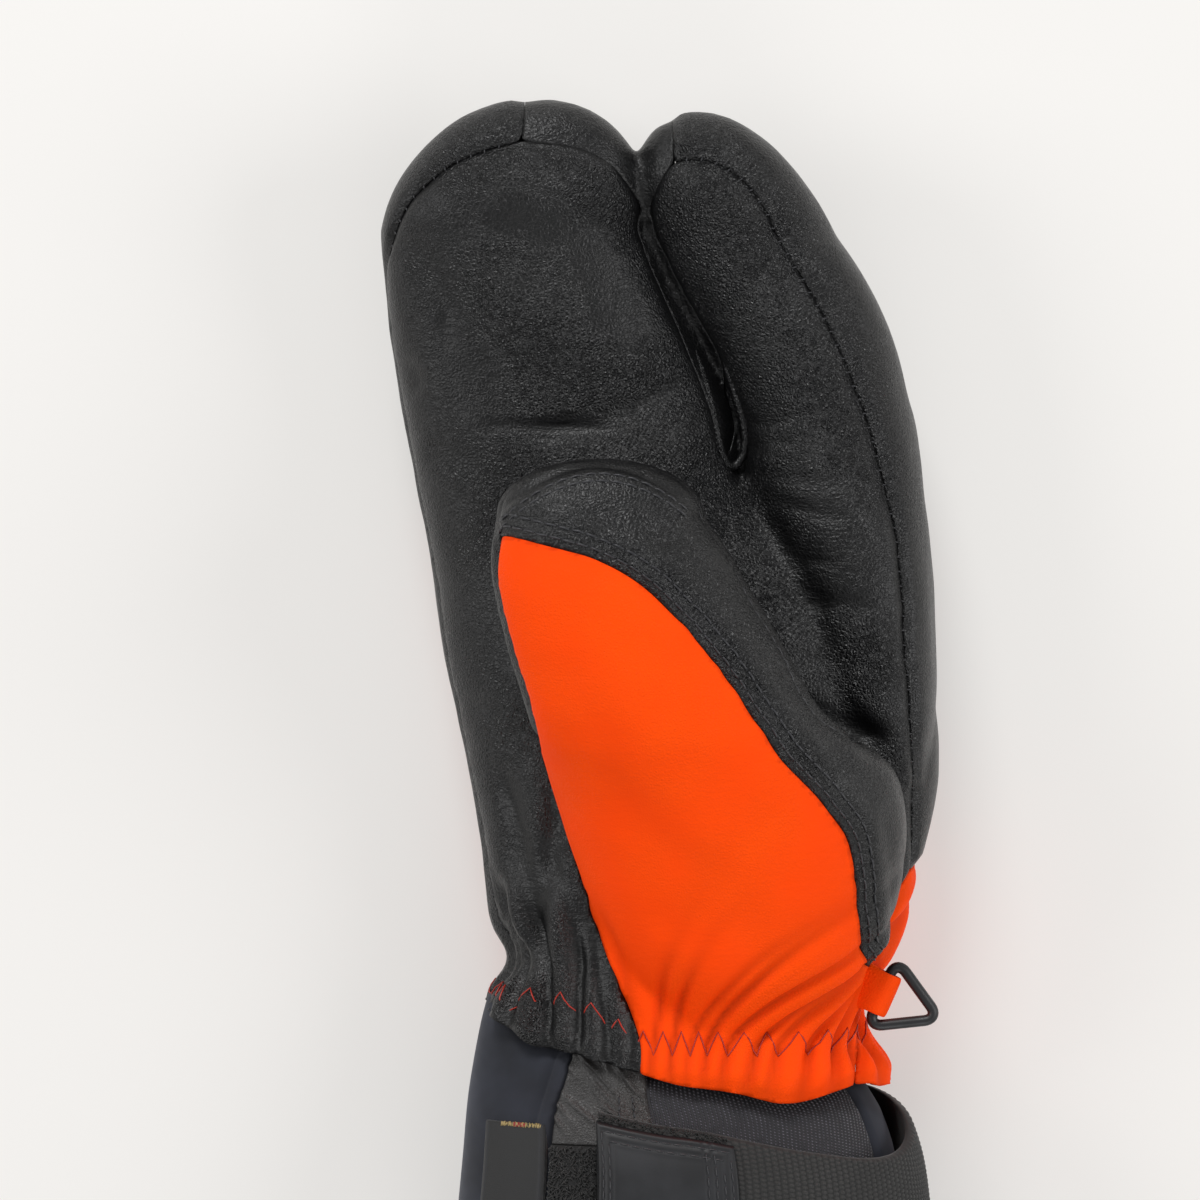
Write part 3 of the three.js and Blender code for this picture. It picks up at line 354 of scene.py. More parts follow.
class Skin:
    """A triangle mesh with the edges, normals and averages that shaping it needs."""

    def __init__(self, points, triangles):
        self.points = points
        self.triangles = triangles
        edges = np.sort(triangles[:, [0, 1, 1, 2, 2, 0]].reshape(-1, 2), axis=1)
        self.edges = np.unique(edges, axis=0)
        self.degree = np.bincount(self.edges.ravel(), minlength=len(points))

    def average(self, values):
        """The mean of each point's neighbours."""
        a, b = self.edges.T
        columns = values.reshape(len(values), -1).T
        count = len(values)
        total = [np.bincount(a, c[b], count) + np.bincount(b, c[a], count) for c in columns]
        return (np.array(total) / np.maximum(self.degree, 1)).T.reshape(values.shape)

    def smoothed(self, values, times):
        """Values that are drawn halfway to their neighbours' mean, a number of times."""
        for _ in range(times):
            values = 0.5 * values + 0.5 * self.average(values)
        return values

    def relax(self, times):
        """Takes the voxel steps out of the surface without shrinking it."""
        for _ in range(times):
            self.points = self.points + 0.5 * (self.average(self.points) - self.points)
            self.points = self.points - 0.52 * (self.average(self.points) - self.points)

    def normals(self):
        """Unit normals of the points, from the triangles round them."""
        a, b, c = (self.points[self.triangles[:, k]] for k in range(3))
        across = np.cross(b - a, c - a)
        count = len(self.points)
        total = np.zeros((count, 3))
        for k in range(3):
            for axis in range(3):
                total[:, axis] += np.bincount(self.triangles[:, k], across[:, axis], count)
        return total / np.maximum(np.linalg.norm(total, axis=1, keepdims=True), 1e-12)

    def distance(self, fields, reach, among=True):
        """Distance along the surface from the lines where a field is zero."""
        a, b = self.edges.T
        length = np.linalg.norm(self.points[a] - self.points[b], axis=1)
        among = np.broadcast_to(among, len(self.points))
        far = np.full(len(self.points), reach)
        for field in fields:
            crossing = ((field[a] >= 0) != (field[b] >= 0)) & among[a] & among[b]
            share = np.abs(field[a]) / np.maximum(np.abs(field[a]) + np.abs(field[b]), 1e-12)
            np.minimum.at(far, a[crossing], (share * length)[crossing])
            np.minimum.at(far, b[crossing], ((1 - share) * length)[crossing])
        near = [[] for _ in range(len(self.points))]
        for i, j, d in zip(a.tolist(), b.tolist(), length.tolist()):
            near[i].append((j, d))
            near[j].append((i, d))
        far = far.tolist()
        queue = [(d, i) for i, d in enumerate(far) if d < reach]
        heapq.heapify(queue)
        while queue:
            d, i = heapq.heappop(queue)
            if d > far[i]:
                continue
            for j, step in near[i]:
                if d + step < far[j]:
                    far[j] = d + step
                    heapq.heappush(queue, (far[j], j))
        return np.array(far)


def clipped(points, triangles, field, extras):
    """The part of a mesh where field is positive, cut along the line where it is zero."""
    inside = field >= 0
    count = inside[triangles].sum(axis=1)
    whole = triangles[count == 3]
    mixed = triangles[(count == 1) | (count == 2)]
    odd = np.where(inside[mixed].sum(axis=1, keepdims=True) == 1, inside[mixed], ~inside[mixed])
    first = odd.argmax(axis=1)
    turned = mixed[np.arange(len(mixed))[:, None], (first[:, None] + np.arange(3)) % 3]
    cut_edges = np.sort(np.vstack([turned[:, [0, 1]], turned[:, [0, 2]]]), axis=1)
    unique, where = np.unique(cut_edges, axis=0, return_inverse=True)
    where = where.ravel()
    a, b = unique.T
    share = np.clip(field[a] / (field[a] - field[b]), 0.04, 0.96)[:, None]
    values = np.column_stack([points, *extras])
    made = np.concatenate([values, values[a] * (1 - share) + values[b] * share])
    ab = len(points) + where[: len(turned)]
    ac = len(points) + where[len(turned):]
    one = inside[turned[:, 0]]
    corner, b, c = turned.T
    pieces = [
        whole,
        np.column_stack([corner, ab, ac])[one],
        np.column_stack([ab, b, c])[~one],
        np.column_stack([ab, c, ac])[~one],
    ]
    kept = np.vstack(pieces)
    used, kept = np.unique(kept, return_inverse=True)
    made = made[used]
    return made[:, :3], kept.reshape(-1, 3), list(made[:, 3:].T)


def main_component(points, triangles):
    """The largest connected part of a mesh."""
    label = np.arange(len(points))
    edges = triangles[:, [0, 1, 1, 2, 2, 0]].reshape(-1, 2)
    while True:
        low = np.minimum(label[edges[:, 0]], label[edges[:, 1]])
        before = label.copy()
        np.minimum.at(label, edges[:, 0], low)
        np.minimum.at(label, edges[:, 1], low)
        label = label[label]
        if (label == before).all():
            break
    biggest = np.bincount(label[triangles[:, 0]]).argmax()
    kept = triangles[label[triangles[:, 0]] == biggest]
    used, kept = np.unique(kept, return_inverse=True)
    return points[used], kept.reshape(-1, 3)


def cad_tree(names):
    """A search tree over CAD nodes, and the number in names that each triangle belongs to."""
    points, triangles, owner = [], [], []
    for number, name in enumerate(names):
        p, t = mesh_arrays(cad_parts[name].data)
        triangles.append(t + sum(len(q) for q in points))
        points.append(p)
        owner.append(np.full(len(t), number))
    tree = BVHTree.FromPolygons(np.vstack(points).tolist(), np.vstack(triangles).tolist())
    return tree, np.concatenate(owner)


def joined(parts):
    """Many small meshes as one list of points and faces."""
    points, faces, start = [], [], 0
    for p, f in parts:
        points.append(p)
        faces += [[start + i for i in face] for face in f]
        start += len(p)
    return np.vstack(points), faces


def leather_form():
    """The smooth skin of the hand, the index finger and the thumb, still whole and without relief."""
    tubes = [tube_mesh(name, *powers) for name, powers in TUBE_POWERS.items()]
    skin = Skin(*main_component(*voxel_union(new_object("form", *joined(tubes)), VOXEL)))
    skin.relax(RELAX_ROUNDS)
    return skin


def leather_labels(skin):
    """How far each point belongs to each panel, softened so that seams run smoothly."""
    tree, owner = cad_tree(list(LEATHER_NODES))
    nearest = [tree.find_nearest(Vector(point))[2] for point in skin.points]
    one_hot = np.eye(len(LEATHER_NODES))[owner[nearest]]
    return skin.smoothed(one_hot, LABEL_ROUNDS)


def margin(soft, names):
    """Positive on the named panels, zero along their seams, negative elsewhere."""
    inside = np.isin(list(LEATHER_NODES), names)
    return soft[:, inside].max(axis=1) - soft[:, ~inside].max(axis=1)


def bell(distance, width):
    """1 at no distance, falling smoothly to 0 over about two widths."""
    return np.exp(-((distance / width) ** 2))


def ramp(value, start, end):
    """0 before start, 1 after end, smooth between them."""
    t = np.clip((value - start) / (end - start), 0, 1)
    return t * t * (3 - 2 * t)


def from_wrist(points):
    """Points measured from the middle of the wrist elastic, in millimetres."""
    return (points - np.array([WRIST_X, WRIST_Y, 0])) / MM


# The leather's relief and its threads

# Folds of the palm side, in millimetres from the middle of the wrist elastic: a line from (x0, y0)
# to (x1, y1) that bows sideways, how deep it is pressed in (negative stands out) and how wide.
PALM_FOLDS = (
    (-50, 183, -26, 161, 1.5, 0.7, 2.2),
    (-47, 180, -24, 159, 1.5, -0.5, 2.2),
    (-22, 148, 8, 148, -0.6, 0.5, 0.8),
    (-18, 145.6, 7, 145, -0.5, 0.4, 0.8),
    (-30, 131, 7, 142, -2.5, 1.2, 3.4),
    (-39, 132, -9, 130.5, 0.8, 0.6, 1.0),
    (-36, 129, -6, 127, 0.8, 0.35, 0.8),
    (-51, 127, -39, 122.5, 1, 0.7, 2.6),
    (19.5, 132, 41, 134.5, 0.8, 0.45, 0.9),
    (19.5, 127.5, 43, 129, 0.8, 0.5, 0.9),
    (18.6, 122.6, 44, 120.4, -1, 0.7, 1.2),
    (17.3, 120.5, 41, 112, -1.6, 0.55, 1.2),
    (8, 122, -6, 118.5, 1.2, 0.6, 1.1),
    (10, 119.5, 0, 110, 1.0, 0.5, 1.1),
    (14.5, 118.5, 15, 106, 0.6, 0.5, 1.0),
    (8, 116, 21, 103, 0.8, 0.35, 1.0),
    (6, 107.5, 37, 103, -1.2, 0.45, 1.1),
    (8, 100, 44, 95, -1.4, 0.6, 1.3),
    (12, 90, 46, 92.5, 1.4, 0.7, 1.6),
    (20, 76, 50, 64.5, -1.6, 2.0, 3.0),
    (24, 82, 50, 78, 1.0, 0.6, 1.4),
    (-57, 173, -46, 149, 3.5, 0.8, 3.0),
    (-56.6, 148, -52, 140, 1, 0.6, 2.2),
    (-44.5, 73, -35, 69, 1, 0.6, 2.4),
    (-35, 58, -29, 16, 2.2, 1.9, 3.0),
    (-19, 58, -27, 14, -2.2, 1.8, 2.8),
    (-24, 40, -18, 12, 1, 1.4, 2.2),
    (-37, 34, -33, 12, -0.6, 1.4, 2.2),
)
# The same for the thumb: the seam over its tip, and the creases of its cap
CAP_SEAM = (-33.7, 112.6, 7.3, 112.0, 9.6)
CAP_SEAM_ROWS = (1.5, 3.0)  # of stitches, millimetres below it
CAP_FOLDS = (
    (*CAP_SEAM, 0.8, 0.8),
    (-33, 109.5, 8, 108.6, 10.5, -0.35, 2.2),
    (8, 104, 20, 88, 1.5, 0.5, 2.2),
    (24, 80, 37, 62, 1.2, 0.6, 2.4),
    (30, 64, 44, 50, 1.0, 0.5, 2.0),
    (-12, 60, 14, 36, -2, 0.45, 5),
    (-24, 84, -8, 62, 1.5, 0.3, 5),
)
SEAM_PITCH = 3.2  # millimetres between stitches in a seam
STITCH_ROWS = (2.0, 4.4)  # millimetres inside the thumb cap's folded edge
ELASTIC_PITCH = 6.5  # millimetres between two gathers
ELASTIC_RISE = 8.5
WRIST_MIDDLE = (6, 32)  # of the wrist's section, across and up, in millimetres
WRIST_RADIUS = 37
RING_SIDE_TURN = (1.05, 0.65)  # where round the wrist the ring hangs, and how wide that side is
BLACK_SIDE_TURN = (2.6, 0.5)
ZIGZAG_HEIGHT = 5.2
ZIGZAG_POINTS = 8  # from one gather to the next
ZIGZAG_SUNK = -0.45  # its lower half on the black leather, in the gathers
ZIGZAG_LIFT = 0.05
SEAM_REACH = 9 * MM  # how far from a seam its distance is known
CAP_REACH = 12 * MM
SEAM_SINK = 1.25
PADDING_SWELL = 0.75
CAP_STEP = 0.75
ROLLED_HEM = 0.9
THUMB_NODES = ["thumb_back_panel", "thumb_cap_panel", "thumb_underside_panel"]
STITCH_POINTS = 6
STITCH_SIDES = 6
SEAM_CUT = 0.008  # how far inside its seams a panel is cut
RIM_ROUNDS = 10  # of smoothing along a panel's cut edge
SHORT_CHAIN = 60  # points; a shorter line of a seam gets no thread
RING_CORNER = 3.4  # millimetres that a corner of the ring's middle line is cut by
LOOP_TURN = 2.3  # radius of the loop's leather round the ring's bar
LOOP_HALF_WALL = 0.6
LOOP_SIDES = 28


def fold_depth(place, folds):
    """How deep each point lies in a table of folds, in millimetres."""
    x, y = place[:, 0], place[:, 1]
    total = np.zeros(len(place))
    for x0, y0, x1, y1, bow, depth, width in folds:
        length = math.hypot(x1 - x0, y1 - y0)
        ux, uy = (x1 - x0) / length, (y1 - y0) / length
        along = ((x - x0) * ux + (y - y0) * uy) / length
        bowed = bow * (1 - (2 * along - 1) ** 2)
        across = (y - y0) * ux - (x - x0) * uy - bowed
        ends = ramp(along, -0.12, 0.2) * (1 - ramp(along, 0.8, 1.12))
        total += depth * ends * bell(across, width)
    return total


def elastic_line(x):
    """Where the wrist's elastic runs: higher on the little-finger side."""
    return ELASTIC_RISE * (1 - ramp(x, -27, -8))


def gather_turns():
    """The angle round the wrist of every gather, and the random numbers that shape it."""
    rng = np.random.default_rng(7)
    count = round(2 * math.pi * WRIST_RADIUS / ELASTIC_PITCH)
    turns = 2 * math.pi * (np.arange(count) + rng.uniform(-0.14, 0.14, count)) / count
    return list(zip(turns, rng.uniform(0, 1, (count, 3))))


def around(turn, middle):
    """How far a turn is from a middle, the short way round."""
    return np.remainder(turn - middle + math.pi, 2 * math.pi) - math.pi


def gathers(place):
    """Ruffles that the wrist's elastic draws into the leather, in millimetres of depth."""
    x, y, z = place.T
    turn = np.arctan2(z - WRIST_MIDDLE[1], x - WRIST_MIDDLE[0])
    up = y - elastic_line(x)
    total = np.zeros(len(place))
    for middle, (first, second, third) in gather_turns():
        towards_ring = bell(around(middle, RING_SIDE_TURN[0]), RING_SIDE_TURN[1])
        on_black = bell(around(middle, BLACK_SIDE_TURN[0]), BLACK_SIDE_TURN[1])
        lean = 0.5 * (first - 0.5) - 0.85 * towards_ring
        reach = 8 + 6 * second + 11 * towards_ring + 9 * on_black
        depth = 2.2 + 1.3 * third + 0.9 * on_black
        path = middle + lean * np.where(up > 0, up, up * 0.4) / WRIST_RADIUS * (1 + up / 60)
        across = WRIST_RADIUS * around(turn, path)
        above = np.exp(-((np.maximum(up, 0) / reach) ** 1.5))
        below = 0.5 + 0.5 * np.exp(-((np.minimum(up, 0) / 5) ** 2))
        width = 1.0 + 0.06 * np.maximum(up, 0) + 0.1 * np.maximum(-up, 0)
        total += depth * above * below * bell(across, width)
    return total


def uneven(point):
    """Slow unevenness of padded leather, in millimetres."""
    slow = noise.noise(Vector((point[0] / 22, point[1] / 30, point[2] / 22)))
    quick = noise.noise(Vector((point[0] / 7 + 9, point[1] / 9, point[2] / 7)))
    return 0.6 * slow + 0.22 * quick


def hem_at(x):
    """How far above the elastic the leather ends, at a place across the wrist."""
    line = np.array(HEM_LINE)
    return np.interp(x / (HAND_WIDTH / MM), line[:, 0], line[:, 1]) * HAND_LENGTH / MM


class DressedSkin:
    """The leather's outer face with its relief, and what its panels and threads need to know.
    Lengths of relief are millimetres, and overlap is the distance inside the thumb cap's edge."""

    def __init__(self, relief):
        skin = leather_form()
        soft = leather_labels(skin)
        share = dict(zip(LEATHER_NODES, soft.T))
        self.skin = skin
        self.fields = {name: margin(soft, [name]) for name in LEATHER_NODES}
        self.place = from_wrist(skin.points)
        x, y, _ = self.place.T
        self.seam = skin.smoothed(skin.distance(self.fields.values(), SEAM_REACH), 2)
        cap_field = self.fields["thumb_cap_panel"]
        on_top = share["thumb_cap_panel"] + share["thumb_back_panel"] > 0.8
        overlap = skin.smoothed(skin.distance([cap_field], CAP_REACH, on_top), 2)
        self.overlap = np.where(cap_field > 0, overlap, -overlap)
        self.orange = share["thumb_back_panel"] + share["hand_back_panel"]
        self.off_thumb = 1 - ramp(margin(soft, THUMB_NODES), -0.3, 0.3)
        self.slit = ramp(self.fields["finger_gap_strip"], -0.5, 0.3) * ramp(y, 118, 126)
        self.sewn = (self.orange < 0.03) & (self.slit < 0.05)
        hem = y - hem_at(x)
        self.hem = skin.smoothed(hem, 2) * MM
        normal = skin.smoothed(skin.normals(), 4)
        normal /= np.linalg.norm(normal, axis=1, keepdims=True)
        folds = self.folds(normal)
        ruffles = gathers(self.place)
        # The crease value marks folds, gathers and the slit between the fingers: the leather material
        # paints shade there and flattens its grain
        self.crease = np.clip(0.45 * np.maximum(folds, 0) + 0.4 * ruffles + 1.2 * self.slit, 0, 1)
        rolled = ROLLED_HEM * (1 - ramp(hem, 0, 2.4))
        flare = 4.0 * bell(y - 4, 6.5) * (1 - ramp(x, -34, -24)) + 1.2 * bell(y - elastic_line(x) + 7, 4)
        moved = self.padding() - folds - ruffles + self.cap_edge() + self.lumps() - rolled + flare
        skin.points = skin.points + normal * (relief * moved * MM)[:, None]
        skin.points[:, 2] = np.maximum(skin.points[:, 2], 0)
        self.calm()
        self.tree = BVHTree.FromPolygons(skin.points.tolist(), skin.triangles.tolist())

    def folds(self, normal):
        """Folds of the palm and the thumb, where the leather faces up."""
        palm_side = ramp(normal[:, 2], -0.1, 0.35)
        folds = fold_depth(self.place, PALM_FOLDS) * palm_side * self.off_thumb
        return folds + fold_depth(self.place, CAP_FOLDS) * palm_side * (1 - self.off_thumb)

    def padding(self):
        """The swell of the padding between sunk seams."""
        sunk = SEAM_SINK * bell(self.seam, 1.2 * MM) * (1 - bell(self.overlap, 1.8 * MM))
        puffed = PADDING_SWELL * (1 - np.exp(-self.seam / (4.5 * MM))) * (1 - 0.7 * self.slit)
        return puffed - sunk

    def cap_edge(self):
        """The thumb cap's folded edge over the orange leather, with its two sunk rows of stitches."""
        inside = np.abs(self.overlap)
        step = CAP_STEP * ramp(inside, 0, 0.8 * MM) * (1 - ramp(inside, 6 * MM, 11 * MM))
        rows = sum(0.34 * bell(inside - row * MM, 0.5 * MM) for row in STITCH_ROWS)
        pressed = -0.25 * bell(inside, 1.5 * MM)
        return np.where(self.fields["thumb_cap_panel"] > 0, step - rows, pressed)

    def lumps(self):
        """Slow unevenness, which the slit between the fingers hardly has."""
        return np.array([uneven(point) for point in self.place]) * (1 - 0.8 * self.slit)

    def calm(self):
        """Smooths what the relief has bent too sharply: sharp edges everywhere, the slit between the
        fingers, and more gently the valley between the palm and the index finger."""
        skin = self.skin
        x, y, _ = self.place.T
        facing = skin.normals()
        sharp = 1 - (facing * skin.smoothed(facing, 5)).sum(axis=1)
        sharp = skin.smoothed(sharp, 2)
        valley = ramp(x, 10, 14) * (1 - ramp(x, 40, 44)) * ramp(y, 66, 72)
        valley = valley * (1 - ramp(y, 122, 125)) * self.off_thumb
        at_wrist = 1 - ramp(y, 24, 40)
        everywhere = np.maximum(ramp(sharp, 0.1, 0.4) * (1 - 0.7 * at_wrist), self.slit)
        for rough, rounds in ((everywhere, 9), (valley * ramp(sharp, 0.01, 0.08), 14)):
            calm = 0.6 * np.clip(1.4 * skin.smoothed(rough, 4), 0, 1)[:, None]
            for _ in range(rounds):
                skin.points = skin.points + calm * (skin.average(skin.points) - skin.points)


@lru_cache(maxsize=1)
def dressed_skin(relief):
    return DressedSkin(relief)


def smooth_rim(points, triangles):
    """Takes the voxel teeth out of a sheet's cut edges. The points beside a rim move with it, so
    that no triangle folds over."""
    sheet = Skin(points, triangles)
    edges = np.sort(triangles[:, [0, 1, 1, 2, 2, 0]].reshape(-1, 2), axis=1)
    unique, count = np.unique(edges, axis=0, return_counts=True)
    a, b = unique[count == 1].T
    degree = np.bincount(a, minlength=len(points)) + np.bincount(b, minlength=len(points))
    on_rim = degree > 0
    near = sheet.smoothed(on_rim.astype(float), 3)
    weight = np.where(on_rim, 0, np.clip(2.5 * near, 0, 0.6))[:, None]
    share = 0.5 / degree[on_rim, None]
    for _ in range(RIM_ROUNDS):
        total = np.zeros_like(sheet.points)
        np.add.at(total, a, sheet.points[b])
        np.add.at(total, b, sheet.points[a])
        moved = sheet.points + weight * (sheet.average(sheet.points) - sheet.points)
        moved[on_rim] = 0.5 * sheet.points[on_rim] + share * total[on_rim]
        sheet.points = moved
    return sheet.points


def isoline(skin, field, level):
    """Chains of points along the lines where field has a level."""
    above = field >= level
    triangles = skin.triangles
    mixed = triangles[(above[triangles].sum(axis=1) % 3) != 0]
    partner = {}
    where = {}
    for triangle in mixed.tolist():
        crossed = []
        for i, j in ((0, 1), (1, 2), (2, 0)):
            a, b = sorted((triangle[i], triangle[j]))
            if above[a] != above[b]:
                share = (level - field[a]) / (field[b] - field[a])
                where[(a, b)] = skin.points[a] * (1 - share) + skin.points[b] * share
                crossed.append((a, b))
        partner.setdefault(crossed[0], []).append(crossed[1])
        partner.setdefault(crossed[1], []).append(crossed[0])
    chains = []
    ends = [key for key, others in partner.items() if len(others) == 1]
    seen = set()
    for start in ends + list(partner):
        if start in seen:
            continue
        chain = [start]
        seen.add(start)
        while True:
            onward = [key for key in partner[chain[-1]] if key not in seen]
            if not onward:
                break
            chain.append(onward[0])
            seen.add(onward[0])
        chains.append(np.array([where[key] for key in chain]))
    return chains


def evened(chain, step, rounds=6):
    """A chain of points smoothed and spaced evenly."""
    line = chain.copy()
    for _ in range(rounds):
        line[1:-1] = 0.5 * line[1:-1] + 0.25 * (line[:-2] + line[2:])
    length = np.concatenate([[0], np.cumsum(np.linalg.norm(np.diff(line, axis=0), axis=1))])
    wanted = np.arange(0, length[-1], step)
    return np.column_stack([np.interp(wanted, length, line[:, k]) for k in range(3)])


def tube_along(path, radius, sides, closed=False):
    """A round tube along a path. Its radius may change along it."""
    path = np.asarray(path, float)
    radii = np.broadcast_to(radius, len(path)).astype(float)
    if closed:
        tangent = np.roll(path, -1, axis=0) - np.roll(path, 1, axis=0)
    else:
        tangent = np.gradient(path, axis=0)
    tangent /= np.maximum(np.linalg.norm(tangent, axis=1, keepdims=True), 1e-12)
    side = np.zeros(3)
    side[np.abs(tangent[0]).argmin()] = 1
    points = []
    angle = np.linspace(0, 2 * math.pi, sides, endpoint=False)
    for place, along, r in zip(path, tangent, radii):
        side = side - along * side.dot(along)
        side /= np.linalg.norm(side)
        up = np.cross(along, side)
        points.append(place + r * (np.cos(angle)[:, None] * side + np.sin(angle)[:, None] * up))
    return np.vstack(points), ring_faces(len(path), sides, closed)


def stitches(path, tree, length, gap, radius, lift):
    """Single stitches along a path on a surface: each one dips into the leather at both ends."""
    parts = []
    evenly = evened(path, (length + gap) / STITCH_POINTS)
    arch = np.sin(np.linspace(0, math.pi, STITCH_POINTS))[:, None]
    for start in range(0, len(evenly) - STITCH_POINTS - 1, STITCH_POINTS):
        piece = evenly[start : start + STITCH_POINTS]
        normal = tree.find_nearest(Vector(piece[STITCH_POINTS // 2]))[1]
        raised = piece + np.array(normal) * (lift + radius * 1.2 * (arch - 0.6))
        parts.append(tube_along(raised, radius, STITCH_SIDES))
    return parts


def smooth_object(name, points, faces):
    """A smooth-shaded mesh object that is linked to the scene."""
    obj = new_object(name, points, faces)
    obj.data.shade_smooth()
    return obj


def finish_modifier(obj, kind, **settings):
    """Adds a modifier with its settings and applies it."""
    modifier = obj.modifiers.new(kind.lower(), kind)
    for key, value in settings.items():
        setattr(modifier, key, value)
    bpy.ops.object.select_all(action="DESELECT")
    bpy.context.view_layer.objects.active = obj
    obj.select_set(True)
    bpy.ops.object.modifier_apply(modifier=modifier.name)


def settle(obj, body, slot, *nodes):
    """Tells the frame what a piece rides on and stands for. Its slot, the finish it would take, is not
    used.
    """
    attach(obj, body)
    if nodes:
        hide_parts(*nodes)


# Materials


def shade(colour, share):
    """A linear colour made darker or lighter by a share."""
    return [min(1.0, channel * share) for channel in colour[:3]] + [1.0]


# A Mix node's two colours among its inputs, and the mixed colour among its outputs
MIX_FIRST = 6
MIX_SECOND = 7
MIX_RESULT = 2


def add(tree, kind, inputs=(), **settings):
    """Adds one node with its settings. Its inputs go by name or in order. An input is a value, an
    output socket, or a node, which stands for its first output."""
    made = tree.nodes.new("ShaderNode" + kind)
    for key, value in settings.items():
        setattr(made, key, value)
    for key, value in inputs.items() if isinstance(inputs, dict) else enumerate(inputs):
        socket = made.inputs[key]
        if isinstance(value, bpy.types.Node):
            value = value.outputs[0]
        if isinstance(value, bpy.types.NodeSocket):
            tree.links.new(value, socket)
        else:
            socket.default_value = value
    return made


def new_material(name):
    """A material with an empty node tree."""
    material = bpy.data.materials.new(name)
    material.use_nodes = True
    material.node_tree.nodes.clear()
    return material, material.node_tree


def finished(material, tree, inputs):
    """Ends a material with its shader and returns it."""
    shader = add(tree, "BsdfPrincipled", inputs)
    add(tree, "OutputMaterial", {"Surface": shader})
    return material


def leather_material(name, colour, worn, seam_dark_and_crease_shade, grain, roughness, relief, shine):
    """Pigmented goat leather, drum-dyed and finished: a pebbled grain of small cells that flattens
    where it is stretched, fine stretch lines, a satin coat that glints on the pebbles, dark seam
    joints, and painted shade in its creases, gathers and the slit between the fingers."""
    material, tree = new_material(name)
    place = add(tree, "TexCoord").outputs["Object"]
    seam = add(tree, "Attribute", attribute_name="seam").outputs["Fac"]
    crease = add(tree, "Attribute", attribute_name="crease").outputs["Fac"]
    slow = add(tree, "TexNoise", {"Vector": place, "Scale": 1 / (24 * MM), "Detail": 2.0})
    warp = add(tree, "TexNoise", {"Vector": place, "Scale": 1 / (3.5 * MM), "Detail": 3.0})
    bend = add(tree, "VectorMath", [warp.outputs["Color"], (1.2 * MM,) * 3], operation="MULTIPLY")
    bent = add(tree, "VectorMath", [place, bend], operation="ADD")
    cells = add(tree, "TexVoronoi", {"Vector": bent, "Scale": 1 / (grain * MM)}, feature="DISTANCE_TO_EDGE")
    small = add(tree, "TexVoronoi", {"Vector": bent, "Scale": 2.3 / (grain * MM)}, feature="F1")
    pebble = add(tree, "MapRange", [cells, 0.0, 0.3, 0.0, 1.0])
    pebble = add(tree, "Math", [small, -0.5, pebble], operation="MULTIPLY_ADD")
    loose = add(tree, "MapRange", [slow, 0.4, 0.6, 0.25, 1.0])
    by_seam = add(tree, "MapRange", [seam, 0.5 * MM, 4 * MM, 0.7, 1.0])
    by_crease = add(tree, "MapRange", [crease, 0.05, 0.6, 1.0, 0.3])
    loose = add(tree, "Math", [loose, by_seam], operation="MULTIPLY")
    loose = add(tree, "Math", [loose, by_crease], operation="MULTIPLY")
    drawn = add(tree, "Mapping", {"Vector": bent, "Scale": (220.0, 900.0, 420.0)})
    lines = add(tree, "TexNoise", {"Vector": drawn, "Scale": 1.0, "Detail": 4.0, "Roughness": 0.65})
    height = add(tree, "Math", [pebble, loose], operation="MULTIPLY")
    height = add(tree, "Math", [lines, 1.1, height], operation="MULTIPLY_ADD")
    # Dark seam joints, and shade painted into the folds, gathers and slit that the crease value marks
    in_seam = add(tree, "MapRange", [seam, 0.15 * MM, 1.1 * MM, 0.9, 0.0])
    painted_crease_shade = add(tree, "Math", [crease, 0.55], operation="MULTIPLY")
    dark = add(tree, "Math", [in_seam, painted_crease_shade], operation="MAXIMUM")
    wear = add(tree, "MapRange", [slow, 0.38, 0.66, 0.0, 1.0])
    tone = add(tree, "Mix", {0: wear, MIX_FIRST: colour, MIX_SECOND: worn}, data_type="RGBA")
    tone = tone.outputs[MIX_RESULT]
    tone = add(tree, "Mix", {0: dark, MIX_FIRST: tone, MIX_SECOND: seam_dark_and_crease_shade}, data_type="RGBA")
    return finished(material, tree, {
        "Base Color": tone.outputs[MIX_RESULT],
        "Roughness": add(tree, "MapRange", [height, 0.3, 1.5, roughness + 0.13, roughness - 0.1]),
        "Normal": add(tree, "Bump", {"Height": height, "Strength": relief, "Distance": 0.27 * MM}),
        "IOR": 1.5,
        "Specular IOR Level": shine,
    })


def jersey_material(dark):
    """Polyester jersey bonded on foam rubber: a matt knit of fine wales that greys at grazing angles.
    Real wales are 0.35 mm apart, drawn at 0.6 mm so that they show."""
    material, tree = new_material("polyester_jersey_on_foam")
    place = add(tree, "TexCoord").outputs["Object"]
    # A Wave node draws twenty bands where its scale says one
    wave = {"Vector": place, "Scale": 1 / (0.6 * MM * 20), "Distortion": 1.5, "Detail": 1.0,
            "Detail Scale": 2.0}
    wales, courses = (add(tree, "TexWave", wave, bands_direction=way).outputs["Fac"] for way in "XY")
    knit = add(tree, "Math", [wales, courses], operation="MULTIPLY")
    slow = add(tree, "TexNoise", {"Vector": place, "Scale": 1 / (14 * MM), "Detail": 4.0})
    worn = add(tree, "MapRange", [slow, 0.35, 0.7, 0.0, 0.8])
    tone = add(tree, "Mix", {0: worn, MIX_FIRST: dark, MIX_SECOND: shade(dark, 2.4)}, data_type="RGBA")
    return finished(material, tree, {
        "Base Color": tone.outputs[MIX_RESULT],
        "Roughness": 0.9,
        "Normal": add(tree, "Bump", {"Height": knit, "Strength": 0.45, "Distance": 0.15 * MM}),
        "Sheen Weight": 0.35,
        "Sheen Roughness": 0.45,
        "Sheen Tint": linear("#8a8c96"),
    })


